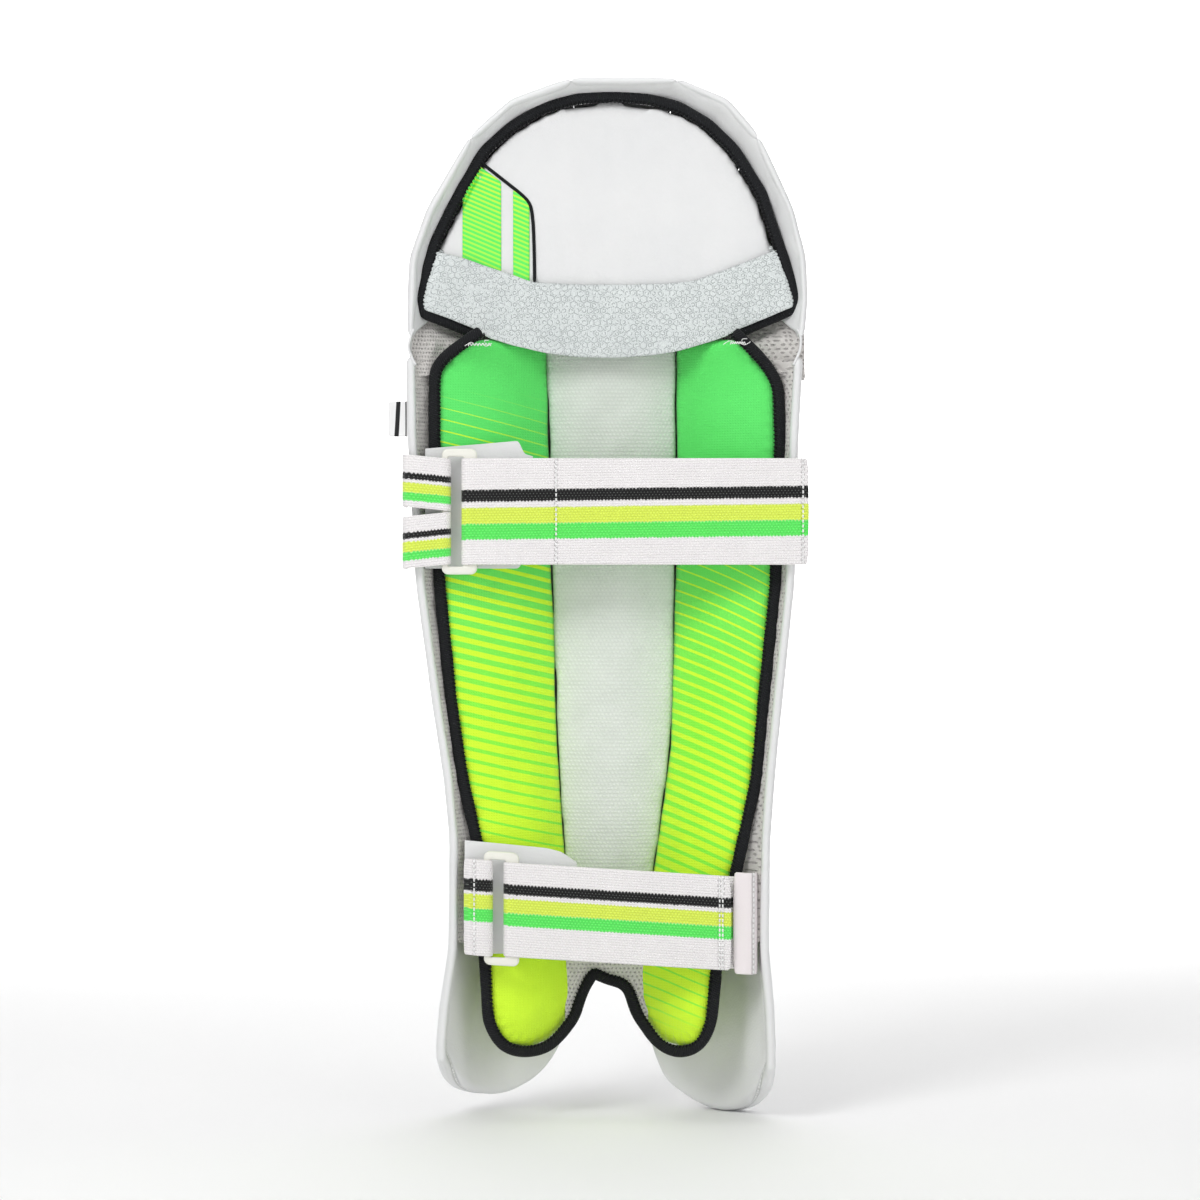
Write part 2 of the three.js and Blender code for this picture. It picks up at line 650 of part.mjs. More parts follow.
function addAnkleStrap() {
  const leftBarX = -79.2;
  const slope = ANKLE_STRAP_SLOPE;
  const middle = ANKLE_STRAP_HEIGHT + slope * 64;
  const half = ANKLE_WEBBING_WIDTH / 2;
  addStrap({
    group: ankleStrap,
    name: "ankle",
    leftBarX,
    middle,
    width: ANKLE_WEBBING_WIDTH,
    slope,
    baseEnd: [[91, BACK_LAYER]],
    tailEnd: 81.3,
    loop: [-40, 78],
    hook: [-20, 76],
  });
  const ring = turnPoints(leftBarX, 1);
  const anchorLine = [[-94.5, -4.2], [-91, -6.2], [-86.5, FRONT_LAYER], ...ring, [-94.5, BACK_LAYER]];
  const anchor = tapeGeometry(anchorLine, WEBBING, middle - half, middle + half, slope);
  addPiece(ankleStrap, "ankle_anchor", anchor, STRIPED_WEBBING);
  const tabLine = [[83.5, -3.8], [93.5, -3.8], [97.3, -1], [98, 3], [98, 14]];
  const tab = tapeGeometry(tabLine, 1.6, middle - half - 1.5, middle + half + 1.5, slope);
  addPiece(ankleStrap, "ankle_strap_tab", tab, WHITE_PU);
  const patch = panelGeometry(3, 1, (s, t, k) => {
    const x = lerp(-93.5, -21, s);
    const upper = s < 0.7 ? lerp(186.5, 183, s / 0.7) : 175;
    return new THREE.Vector3(x, 1 + 1.4 * k, t ? upper : 112);
  });
  addPiece(ankleStrap, "ankle_anchor_patch", patch, WHITE_PU);
}

// ---- Small pieces ----

function addBlock(group, name, [x, depth, height], [width, thickness, tall], finish) {
  const geometry = new THREE.BoxGeometry(width, thickness, tall);
  geometry.translate(x, depth, height);
  addPiece(group, name, geometry, finish);
}

function addTrim() {
  addBlock(pad, "side_label", [-138, 6, 464.7], [12.4, 1.2, 23], WHITE_PU);
  addBlock(pad, "left_waist_tack", [-84, 15, 510.2], [14, 2, 2.4], THREAD);
  addBlock(pad, "right_waist_tack", [85, 15, 510.2], [10, 2, 2.4], THREAD);
}

addShell();
addShellCore();
addLiner();
addKneeShell();
addKneeFlap();
addKneeTrim();
addCalfStrap();
addAnkleStrap();
addTrim();

// The origin is below the middle of the whole pad, at its lowest point.
const box = new THREE.Box3().setFromObject(pad);
const middle = box.getCenter(new THREE.Vector3());
pad.position.set(-middle.x, -middle.y, -box.min.z);

export default pad;
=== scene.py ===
import json
import math

import bmesh
import bpy
import numpy as np
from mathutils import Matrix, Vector, noise
from mathutils.bvhtree import BVHTree
from mathutils.kdtree import KDTree

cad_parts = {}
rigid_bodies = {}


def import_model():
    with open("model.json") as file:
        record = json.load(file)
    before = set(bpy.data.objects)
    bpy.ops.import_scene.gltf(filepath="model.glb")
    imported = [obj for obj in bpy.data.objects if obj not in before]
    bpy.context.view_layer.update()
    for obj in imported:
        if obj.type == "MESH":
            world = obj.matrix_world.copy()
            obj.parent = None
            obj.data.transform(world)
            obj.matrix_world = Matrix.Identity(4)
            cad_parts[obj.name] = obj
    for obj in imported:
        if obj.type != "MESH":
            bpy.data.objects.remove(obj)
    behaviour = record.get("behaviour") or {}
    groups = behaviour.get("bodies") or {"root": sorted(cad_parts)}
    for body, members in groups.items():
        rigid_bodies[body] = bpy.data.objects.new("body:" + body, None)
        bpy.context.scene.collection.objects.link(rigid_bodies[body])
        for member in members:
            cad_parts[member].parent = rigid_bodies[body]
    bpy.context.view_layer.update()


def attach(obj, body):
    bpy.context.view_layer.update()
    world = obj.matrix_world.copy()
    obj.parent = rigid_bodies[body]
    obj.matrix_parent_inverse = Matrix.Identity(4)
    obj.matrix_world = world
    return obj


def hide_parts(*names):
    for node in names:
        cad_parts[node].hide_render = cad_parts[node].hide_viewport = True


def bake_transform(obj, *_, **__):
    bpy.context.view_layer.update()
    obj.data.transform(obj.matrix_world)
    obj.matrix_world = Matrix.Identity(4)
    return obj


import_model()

# Shapes are worked out in the pad's own millimetres: x to the right, depth d from the rim plane
# towards the strike face, height z. SHIFT takes them to the row frame.
SHIFT = np.array([5.5068, -48.75, -0.2095])


def metres(p):
    return Vector((np.asarray(p, float) + SHIFT) / 1000)


# ---------------------------------------------------------------- dimensions

SHELL_DEPTH, ANKLE_DEPTH, TOE_DEPTH, FULL_DEPTH_HEIGHT = 102, 96, 86, 160
INSTEP_LINE, SHIN_TOP, KNEE_BOTTOM = 105, 505, 519
FRONT_EDGE = 0.48
WING_THICKNESS, WING_GROWTH = 4.5, 4
BOLSTER_CROWN, FRONT_THICKNESS = 5, 16
LINER_EDGE_DEPTH, LINER_SEAM_DEPTH, LINER_THICKNESS, LINER_TOP = 12, 45, 18, 520
FLAP_THICKNESS = 12
BINDING, BINDING_LAP = 6.2, 0.9
BINDING_STITCH = (2.7, 3.0, 0.9, 0.3, math.radians(65))  # pitch, length, thickness, lift, turn
WEBBING = 1.8
RING_DEPTH, TURN_RADIUS = -5, 3.6
FRONT_LAYER, BACK_LAYER = RING_DEPTH - TURN_RADIUS, RING_DEPTH + TURN_RADIUS

SHELL_OUTLINE = np.array([
    (0, -110, 110), (52, -112, 110.5), (76, -110, 109.5), (116, -104, 106), (188, -103.5, 107),
    (228, -107.3, 110), (276, -114.7, 114.7), (356, -125.5, 123), (452, -131, 125.5),
    (505, -132, 128.5), (519, -133, 131)])
LINER_OUTLINE = np.array([
    (60, -74.5, 65.5), (76, -76.5, 67), (110, -78, 70), (180, -82, 85.5), (228, -92.8, 96),
    (276, -100, 100.3), (356, -108, 108.5), (452, -111.3, 111.5), (486, -111.4, 110.4), (496, -111.2, 105.2),
    (501.5, -108.3, 101), (516, -87.5, 85.6), (520, -81, 81)])
LINER_SEAMS = np.array([
    (60, -28.5, 28), (76, -20.5, 20), (110, -24.5, 20.5), (175, -28.5, 33.5),
    (255, -34, 44), (440, -38.5, 46.7), (508, -41, 46.7)])
# Lower ends of the liner's lobes: share across, height.
LINER_FOOT = [(0, 66), (0.06, 58), (0.16, 52), (0.3, 48.5), (0.5, 47.3), (0.68, 49), (0.82, 53),
              (0.93, 59), (1, 67)]
# Lower edge of each instep lobe: place on the U from the arch to the rim, height.
LOBE_EDGES = {
    -1: [(0.2, 45), (0.218, 38.7), (0.26, 28.7), (0.325, 18.7), (0.43, 11.3), (0.5, 10.2), (0.6, 14),
         (0.7, 19), (0.8, 26), (0.9, 34), (1, 42)],
    1: [(0.195, 45), (0.225, 32), (0.263, 18.7), (0.351, 8.7), (0.431, 2), (0.51, 0), (0.59, 2),
        (0.68, 7.5), (0.82, 17), (0.9, 25), (1, 36)]}
DOME_OUTLINE = np.array([
    (519, -133, 131), (545, -132, 133.2), (572, -130.5, 131.5), (604, -119, 123.5), (652, -91.5, 101),
    (676, -64, 80), (690.5, -24, 47)])
DOME_CENTRE = np.array([-1.0, 519.0])
# The flap's bound edge, where the binding's inner side runs, from the left waist over the top to the right.
FLAP_EDGE_CORNERS = [
    (-82, 523.4), (-101, 530.9), (-122.3, 539), (-119, 552), (-111.3, 580.8), (-94.3, 614.8),
    (-79, 640.6), (-62, 656), (-40.7, 668.6), (-18, 674.6), (4.9, 675.8), (27, 674), (47.7, 668.3),
    (66, 657), (81.7, 641.5), (99.5, 613), (112, 575.5), (120, 552), (123.6, 541.5), (102, 532.6),
    (81.5, 523.4)]
BAND_TOP = [(-125, 578), (-113, 574.6), (-94, 570), (-72, 562.8), (-48.7, 555.3), (-20, 554),
            (20, 553.8), (45, 554.6), (58.7, 556.2), (85.3, 565.5), (111.3, 575.3), (125, 580)]
BAND_BOTTOM = [(-124, 539.5), (-84, 524.2), (-80, 520), (-62, 514.8), (-41.5, 510), (-18, 507.2),
               (5, 506.6), (27, 508.2), (47, 511), (66, 516.5), (81, 521.5), (84, 524), (125, 541)]


def column(rows, height, c):
    return float(np.interp(height, rows[:, 0], rows[:, c]))


def on_line(line, x):
    return float(np.interp(x, [p[0] for p in line], [p[1] for p in line]))


def mix(a, b, t):
    return a + (b - a) * t


def clamp(x, low=0.0, high=1.0):
    return max(low, min(high, x))


def ease(x):
    x = clamp(x)
    return x * x * (3 - 2 * x)


# ---------------------------------------------------------------- the shell's section

U_CORNER = 0.5 ** (1 / 3)


def partner(share):
    return max(0.0, 1 - share ** 3) ** (1 / 3)


def u_shares(station):
    if station < 0.5:
        forward = 2 * station * U_CORNER
        return partner(forward), forward
    across = 2 * (1 - station) * U_CORNER
    return across, partner(across)


def shell_depth(height):
    return float(np.interp(height, [0, INSTEP_LINE, FULL_DEPTH_HEIGHT],
                           [TOE_DEPTH, ANKLE_DEPTH, SHELL_DEPTH]))


def shell_point(p, height, inset=0.0):
    left, right = column(SHELL_OUTLINE, height, 1), column(SHELL_OUTLINE, height, 2)
    across, forward = u_shares(1 - abs(p))
    x = (left + right) / 2 + math.copysign((right - left) / 2 - inset, p) * across
    return np.array([x, (shell_depth(height) - inset) * forward, height])


def liner_depth(x, height):
    c = 1 if x < 0 else 2
    edge, seam = column(LINER_OUTLINE, height, c), column(LINER_SEAMS, height, c)
    return mix(LINER_EDGE_DEPTH, LINER_SEAM_DEPTH, clamp((edge - x) / (edge - seam)))


def dome_point(rim, station, inset=0.0):
    across, forward = u_shares(station)
    away = np.asarray(rim, float) - DOME_CENTRE
    place = DOME_CENTRE + away * across * (1 - inset / np.linalg.norm(away))
    return np.array([place[0], (SHELL_DEPTH - inset) * forward, place[1]])


def flap_depth(x, height):
    from_middle = (x / 122) ** 2 + ((height - KNEE_BOTTOM) / 171) ** 2
    return 10 + 12 * max(0, 1 - from_middle)


# ---------------------------------------------------------------- meshes

def make(name, verts, faces, subdivisions=1, merge=0.02):
    """A mesh object from points in the pad's millimetres, merged where they meet, subdivided and smooth."""
    mesh = bpy.data.meshes.new(name)
    mesh.from_pydata([metres(v) for v in verts], [], faces)
    obj = bpy.data.objects.new(name, mesh)
    bpy.context.scene.collection.objects.link(obj)
    bm = bmesh.new()
    bm.from_mesh(mesh)
    if merge:
        bmesh.ops.remove_doubles(bm, verts=bm.verts, dist=merge / 1000)
    bmesh.ops.recalc_face_normals(bm, faces=bm.faces)
    bm.to_mesh(mesh)
    bm.free()
    if subdivisions:
        obj.modifiers.new("subdivide", "SUBSURF").levels = subdivisions
        settle(obj)
    mesh = obj.data
    mesh.shade_smooth()
    return obj


def settle(obj):
    """Applies every modifier on obj to its mesh."""
    graph = bpy.context.evaluated_depsgraph_get()
    mesh = bpy.data.meshes.new_from_object(obj.evaluated_get(graph), preserve_all_data_layers=True,
                                           depsgraph=graph)
    obj.modifiers.clear()
    old, obj.data = obj.data, mesh
    mesh.name = obj.name
    bpy.data.meshes.remove(old)


def rows_mesh(name, rows, closed=False, capped=False, subdivisions=1, merge=0.02):
    """A skin through rows of points. closed joins each row's last point to its first."""
    count = len(rows[0])
    verts = [p for row in rows for p in row]
    faces = []
    for j in range(len(rows) - 1):
        for i in range(count if closed else count - 1):
            a, b = j * count + i, j * count + (i + 1) % count
            faces.append((a, b, b + count, a + count))
    if capped:
        faces.append(tuple(range(count)))
        faces.append(tuple(range((len(rows) - 1) * count, len(rows) * count))[::-1])
    return make(name, verts, faces, subdivisions, merge)


def spread(count, edge):
    """Parameters from 0 to 1 with three more close to each end, so that a rounded edge keeps its shape."""
    edge = min(edge, 0.3)
    near = [0, 0.1 * edge, 0.4 * edge, edge]
    middle = list(np.linspace(edge, 1 - edge, count + 1))[1:-1]
    return near + middle + [1 - e for e in reversed(near)]


def pillow(name, count, leg, front, size, radius):
    """A closed cushion between two faces given as functions of (s, t), with edges of the given radius."""
    across, up = spread(count[0], radius / size[0]), spread(count[1], radius / size[1])

    def share(e):
        return math.sqrt(max(0, 1 - (1 - min(e / radius, 1)) ** 2))

    rows = []
    for t in up:
        near, far = [], []
        for s in across:
            f = share(s * size[0]) * share((1 - s) * size[0]) * share(t * size[1]) * share((1 - t) * size[1])
            a, b = leg(s, t), front(s, t)
            middle = (a + b) / 2
            near.append(middle + (a - middle) * f)
            far.append(middle + (b - middle) * f)
        rows.append(near + far[::-1])
    return rows_mesh(name, rows, closed=True, merge=0.05)


def rest_points(obj):
    co = np.empty(len(obj.data.vertices) * 3)
    obj.data.vertices.foreach_get("co", co)
    return co.reshape(-1, 3) * 1000 - SHIFT


def write_points(obj, points):
    co = (points + SHIFT) / 1000
    obj.data.vertices.foreach_set("co", co.ravel())
    obj.data.update()


def put(obj, name, values, kind="FLOAT", key="value"):
    layer = obj.data.attributes.get(name) or obj.data.attributes.new(name, kind, "POINT")
    layer.data.foreach_set(key, np.asarray(values, np.float32).ravel())


def resample(line, step):
    """Points every step millimetres along a polyline, with their distance along it."""
    line = np.asarray(line, float)
    lengths = np.concatenate([[0], np.cumsum(np.linalg.norm(np.diff(line, axis=0), axis=1))])
    runs = np.linspace(0, lengths[-1], max(2, int(lengths[-1] / step) + 1))
    return np.stack([np.interp(runs, lengths, line[:, c]) for c in range(line.shape[1])], 1), runs


def smooth_line(line, step=4, passes=6):
    """The polyline resampled and rounded at its corners."""
    points, _ = resample(line, step)
    for _ in range(passes):
        points[1:-1] = (points[:-2] + 2 * points[1:-1] + points[2:]) / 4
    return points


def nearest(points):
    """A function that finds the closest of the points to a place: its position, index and distance."""
    tree = KDTree(len(points))
    for i, p in enumerate(points):
        tree.insert(Vector(p), i)
    tree.balance()
    return lambda place: tree.find(Vector(place))


def grid(outer, inner, place):
    """Rows of points, a row for each value of outer and a point in it for each value of inner."""
    return [[np.array(place(u, v), float) for v in inner] for u in outer]


def both(face):
    """The leg side and the front of a cushion whose face(s, t, k) has k = 0 and k = 1 for them."""
    return (lambda s, t: face(s, t, 0)), (lambda s, t: face(s, t, 1))


def mark_rest(obj):
    put(obj, "rest", rest_points(obj), "FLOAT_VECTOR", "vector")


def tag(obj, *edges):
    """Stores each vertex's rest place in millimetres, and its distance to and along the nearest sewn edge."""
    mark_rest(obj)
    if edges:
        samples = [resample(e, 1.0) for e in edges]
        runs = [r for _, run in samples for r in run]
        find = nearest([p for line, _ in samples for p in line])
        near = [find(p) for p in rest_points(obj)]
        put(obj, "edge", [n[2] for n in near])
        put(obj, "run", [runs[n[1]] for n in near])
    return obj


def thicken(obj, thickness, offset=0):
    made = obj.modifiers.new("thickness", "SOLIDIFY")
    made.thickness = thickness / 1000
    made.offset = offset
    settle(obj)
    obj.data.shade_smooth()


def displace(obj, height):
    """Moves each vertex along its normal by height(point in millimetres, index) millimetres."""
    normals = np.empty(len(obj.data.vertices) * 3)
    obj.data.vertices.foreach_get("normal", normals)
    points = rest_points(obj)
    moves = np.array([height(p, i) for i, p in enumerate(points)])
    write_points(obj, points + normals.reshape(-1, 3) * moves[:, None])


def ripple(p, size, seed=0.0):
    return noise.noise(Vector((p[0] / size + seed, p[1] / size - seed, p[2] / size + 2 * seed)))


def ripples(*waves):
    """A displacement that sums ripples, each given as (amount, size, seed)."""
    return lambda p, _: sum(amount * ripple(p, size, seed) for amount, size, seed in waves)


def creases(amount, size=30, seed=0.0, squeeze=1.0):
    """Soft folds of a skin over foam. squeeze above 1 makes them run across."""
    def height(p, _):
        q = (p[0] / squeeze, p[1], p[2] * squeeze)
        folds = 1 - abs(ripple(q, size, seed)) * 2
        broad, fine = ripple(q, size * 1.7, seed + 3), ripple(q, size * 3, seed + 7)
        return amount * (0.6 * broad + 0.4 * folds ** 3 * fine)
    return height


CLOTH_FRAMES = 20
CLOTH = {"quality": 4, "mass": 0.15, "tension_stiffness": 12, "compression_stiffness": 12,
         "bending_stiffness": 0.4, "use_pressure": True, "vertex_group_mass": "sewn"}


def inflate(obj, held, voxel=5.0, pressure=4.0, cap=7.0):
    """Remeshes a closed cushion and swells it as cloth under pressure.
    held(point) is true where it is sewn down."""
    obj.modifiers.new("remesh", "REMESH").mode = "VOXEL"
    obj.modifiers["remesh"].voxel_size = voxel / 1000
    settle(obj)
    start = rest_points(obj)
    pin = obj.vertex_groups.new(name="sewn")
    pin.add([i for i, p in enumerate(start) if held(p)], 1.0, "REPLACE")
    cloth = obj.modifiers.new("cloth", "CLOTH")
    for key, value in CLOTH.items():
        setattr(cloth.settings, key, value)
    cloth.settings.uniform_pressure_force = pressure
    cloth.settings.effector_weights.gravity = 0
    cloth.point_cache.frame_start, cloth.point_cache.frame_end = 1, CLOTH_FRAMES
    for f in range(1, CLOTH_FRAMES + 1):
        bpy.context.scene.frame_set(f)
    settle(obj)
    bpy.context.scene.frame_set(1)
    moved = rest_points(obj) - start
    length = np.linalg.norm(moved, axis=1, keepdims=True)
    moved *= np.minimum(1, cap / np.maximum(length, 1e-6))
    write_points(obj, start + moved)
    obj.modifiers.new("subdivide", "SUBSURF").levels = 1
    settle(obj)
    obj.data.shade_smooth()
    return obj


def unit(v):
    return v / max(np.linalg.norm(v), 1e-9)


def heading(line, i):
    """The direction of a polyline at its point i."""
    return unit(line[min(i + 1, len(line) - 1)] - line[max(i - 1, 0)])


def ribbon(name, line, side, width, depth, round_steps=10, subdivisions=1, wave=0.0, lap=0.0):
    """Tape folded over an edge: a rounded section swept beside a line of [x, d, z] points."""
    line = np.asarray(line, float)
    rows, runs, across = [], [], []
    along = np.concatenate([[0], np.cumsum(np.linalg.norm(np.diff(line, axis=0), axis=1))])
    for i, p in enumerate(line):
        ahead = heading(line, i)
        out = np.array([-ahead[2], 0, ahead[0]]) * side
        out /= np.linalg.norm(out)
        deep = np.cross(ahead, out)
        deep *= math.copysign(1, deep[1])
        row = []
        swell = 1 + wave * noise.noise(Vector((along[i] / 14, side * 3.1, 0.7)))
        for k in range(round_steps):
            a = 2 * math.pi * k / round_steps
            c, s = math.cos(a), math.sin(a)
            c = math.copysign(abs(c) ** 0.75, c)
            s = math.copysign(abs(s) ** 0.75, s)
            row.append(p + out * ((width + lap) / 2 * (1 + c * swell) - lap) + deep * (depth / 2 * s))
            across.append(c)
        rows.append(row)
        runs += [along[i]] * round_steps
    obj = rows_mesh(name, rows, closed=True, capped=True, subdivisions=0, merge=0)
    put(obj, "across", across)
    put(obj, "run", runs)
    if subdivisions:
        obj.modifiers.new("subdivide", "SUBSURF").levels = subdivisions
        settle(obj)
    mark_rest(obj)
    obj.data.shade_smooth()
    return obj


TUBE_SIDES = 6


def add_tube(verts, faces, rings):
    """Adds a closed tube through rings given as (centre, side, up, radius)."""
    base, last = len(verts), len(rings) - 1
    for centre, side, up, radius in rings:
        for a in range(TUBE_SIDES):
            angle = 2 * math.pi * a / TUBE_SIDES
            verts.append(centre + (side * math.cos(angle) + up * math.sin(angle)) * radius)
    for r in range(last):
        for a in range(TUBE_SIDES):
            b, low = (a + 1) % TUBE_SIDES, base + TUBE_SIDES * r
            faces.append((low + a, low + b, low + TUBE_SIDES + b, low + TUBE_SIDES + a))
    faces.append(tuple(base + a for a in range(TUBE_SIDES)))
    faces.append(tuple(base + TUBE_SIDES * last + a for a in range(TUBE_SIDES))[::-1])


def stitches(name, line, pitch, length, thickness, lift=0.0, turn=0.0, slant=0.07):
    """One mesh of short thread stitches along a line. turn lays them across the line instead of along it."""
    points, _ = resample(line, pitch)
    verts, faces, up = [], [], np.array([0, -1, 0])
    for i, p in enumerate(points):
        ahead = heading(points, i)
        out = unit(np.array([-ahead[2], 0, ahead[0]]))
        lie = unit(ahead * math.cos(turn) + out * math.sin(turn) + slant * out)
        side = unit(np.cross(lie, up))
        add_tube(verts, faces, [
            (p + lie * u * length / 2 + up * (lift + thickness * 0.35 * (1 - u * u)),
             side, up, thickness / 2 * w)
            for u, w in ((-1, 0.35), (-0.6, 1), (0, 1.15), (0.6, 1), (1, 0.35))])
    return tag(make(name, verts, faces, 0, 0))


def dress(obj, look, body, slot, *replaced):
    obj.data.materials.clear()
    obj.data.materials.append(look)
    if body:
        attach(obj, body)
    if replaced:
        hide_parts(*replaced)
    return obj


# ---------------------------------------------------------------- looks

def rgb(r, g, b):
    """A colour given as 0 to 255 sRGB, in linear light."""
    def linear(c):
        c /= 255
        return c / 12.92 if c <= 0.04045 else ((c + 0.055) / 1.055) ** 2.4
    return (linear(r), linear(g), linear(b), 1)


class Number:
    """A number in a material's node tree, which takes ordinary arithmetic."""

    def __init__(self, look, socket):
        self.look, self.socket = look, socket

    def __add__(self, other):
        return self.look.math("ADD", self, other)

    def __sub__(self, other):
        return self.look.math("SUBTRACT", self, other)

    def __rsub__(self, other):
        return self.look.math("SUBTRACT", other, self)

    def __mul__(self, other):
        return self.look.math("MULTIPLY", self, other)


class Look:
    """A procedural material. Patterns are worked out in the rest place's millimetres."""

    def __init__(self, name, roughness=0.6, sheen=0.0, specular=0.4):
        self.material = bpy.data.materials.new(name)
        self.material.use_nodes = True
        self.tree = self.material.node_tree
        self.bsdf = self.tree.nodes["Principled BSDF"]
        self.bsdf.inputs["Roughness"].default_value = roughness
        self.bsdf.inputs["Sheen Weight"].default_value = sheen
        self.bsdf.inputs["Specular IOR Level"].default_value = specular
        self.normal = None

    def link(self, value, socket):
        if isinstance(value, Number):
            self.tree.links.new(value.socket, socket)
        else:
            socket.default_value = value

    def node(self, kind, inputs, out=0, **settings):
        made = self.tree.nodes.new(kind)
        for key, value in settings.items():
            setattr(made, key, value)
        for key, value in inputs.items():
            self.link(value, made.inputs[key])
        return Number(self, made.outputs[out])

    def math(self, operation, a, b=0.0, c=0.0):
        return self.node("ShaderNodeMath", {0: a, 1: b, 2: c}, operation=operation)

    def rest(self):
        return self.node("ShaderNodeAttribute", {}, "Vector", attribute_name="rest")

    def attribute(self, name):
        return self.node("ShaderNodeAttribute", {}, "Fac", attribute_name=name)

    def axes(self):
        made = self.tree.nodes.new("ShaderNodeSeparateXYZ")
        self.link(self.rest(), made.inputs[0])
        return [Number(self, out) for out in made.outputs]

    def step(self, x, a, b, low=0.0, high=1.0):
        return self.node("ShaderNodeMapRange", {0: x, 1: a, 2: b, 3: low, 4: high},
                         interpolation_type="SMOOTHSTEP", clamp=True)

    def inside(self, x, centre, half, soft=0.25):
        away = self.math("ABSOLUTE", x - centre)
        return self.step(away, half - soft, half + soft, 1, 0)

    def wave(self, x, pitch):
        """A sine from 0 to 1 with the given pitch."""
        return self.math("MULTIPLY_ADD", self.math("SINE", x * (2 * math.pi / pitch)), 0.5, 0.5)

    def fraction(self, x):
        return self.math("FRACT", x)

    def blend(self, share, a, b):
        made = self.tree.nodes.new("ShaderNodeMix")
        made.data_type = "RGBA"
        self.link(share, made.inputs[0])
        self.link(a, made.inputs[6])
        self.link(b, made.inputs[7])
        return Number(self, made.outputs[2])

    def noise(self, size, detail=2.0, vector=None, rough=0.5):
        return self.node("ShaderNodeTexNoise", {"Vector": vector or self.rest(), "Scale": 1 / size,
                                                "Detail": detail, "Roughness": rough}, "Fac")

    def cells(self, size, feature="F1", out="Distance", vector=None, random=1.0):
        return self.node("ShaderNodeTexVoronoi", {"Vector": vector or self.rest(), "Scale": 1 / size,
                                                  "Randomness": random}, out, feature=feature)

    def raise_by(self, height, depth, strength=1.0):
        """Adds relief, depth in millimetres for a height of 1."""
        inputs = {"Height": height, "Distance": depth / 1000, "Strength": strength}
        if self.normal:
            inputs["Normal"] = self.normal
        self.normal = self.node("ShaderNodeBump", inputs)

    def done(self, colour=None, roughness=None, translucent=0.0):
        if colour is not None:
            self.link(colour, self.bsdf.inputs["Base Color"])
        if roughness is not None:
            self.link(roughness, self.bsdf.inputs["Roughness"])
        if self.normal:
            self.link(self.normal, self.bsdf.inputs["Normal"])
        if translucent:
            self.bsdf.inputs["Subsurface Weight"].default_value = translucent
            self.bsdf.inputs["Subsurface Radius"].default_value = (0.002, 0.002, 0.002)
            self.bsdf.inputs["Subsurface Scale"].default_value = 1.0
        return self.material


def leather(name, tint=(231, 231, 231), band=0.0, seam=0.0):
    """White PU over foam: fine grain, soft creases, stitched bands a set distance from its sewn edges with
    painted shade in their grooves, and painted shade along the sewn edges.
    """
    look = Look(name, 0.42, 0.05, 0.45)
    colour = look.blend(look.noise(38, 3), rgb(*tint), rgb(tint[0] - 9, tint[1] - 8, tint[2] - 7))
    look.raise_by(look.cells(1.5, "F1", random=1.0), 0.16, 0.6)
    look.raise_by(look.noise(9, 3), 0.5, 0.7)
    look.raise_by(look.noise(26, 2), 1.6, 0.5)
    if band or seam:
        edge, run = look.attribute("edge"), look.attribute("run")
        wander = look.math("MULTIPLY_ADD", look.noise(22, 1), 0.8, -0.4)
        edge = edge + wander
        if band:
            groove = look.inside(edge, band, 0.9, 0.8)
            dash = look.inside(look.fraction(run * (1 / 3.4)), 0.5, 0.33, 0.08)
            thread = look.inside(edge, band, 0.45, 0.2) * dash
            look.raise_by(groove, -1.1)
            look.raise_by(thread, 0.5)
            # painted shade: the groove of the stitched band is darkened towards grey
            colour = look.blend(groove * 0.5, colour, rgb(196, 197, 196))
            colour = look.blend(thread, colour, rgb(245, 245, 245))
        if seam:
            pucker = look.step(edge, 0, seam, 1, 0) * look.wave(run, 9.0)
            look.raise_by(pucker, 0.9)
            # painted shade: darker grey within about 1.2 mm of the sewn edge, where the skin turns into the seam
            colour = look.blend(look.step(edge, 0, 1.2, 0.45, 0), colour, rgb(168, 169, 168))
    return look.done(colour, look.step(look.noise(14, 3), 0.35, 0.75, 0.36, 0.52), 0.06)


def spacer_mesh(name, cell=2.7, tint=(222, 219, 216)):
    """Knitted spacer mesh: a net of rounded cells with pits between them, painted shade in the pits, and a
    little fuzz.
    """
    look = Look(name, 0.95, 0.5, 0.2)
    x, d, z = look.axes()
    row = z * (1 / cell)
    odd = look.math("MODULO", look.math("FLOOR", row), 2) * 0.5
    u = look.fraction((x + d) * (1 / cell) + odd) - 0.5
    v = look.fraction(row) - 0.5
    away = look.math("SQRT", u * u + v * v)
    away = away + look.math("MULTIPLY_ADD", look.noise(2.2, 2), 0.3, -0.15)
    pit = look.step(away, 0.12, 0.3, 1, 0)
    look.raise_by(pit, -0.9)
    look.raise_by(look.noise(1.1, 3), 0.35)
    look.raise_by(look.noise(7, 2), 1.2)
    base = look.blend(look.noise(12, 3), rgb(*tint), rgb(tint[0] - 20, tint[1] - 21, tint[2] - 22))
    # painted shade: the pits are darkened
    return look.done(look.blend(pit * 0.75, base, rgb(170, 166, 163)))


def weave(look, x, z, pitch=0.9, depth=0.12):
    look.raise_by(look.wave(x, pitch) * look.wave(z, pitch), depth)


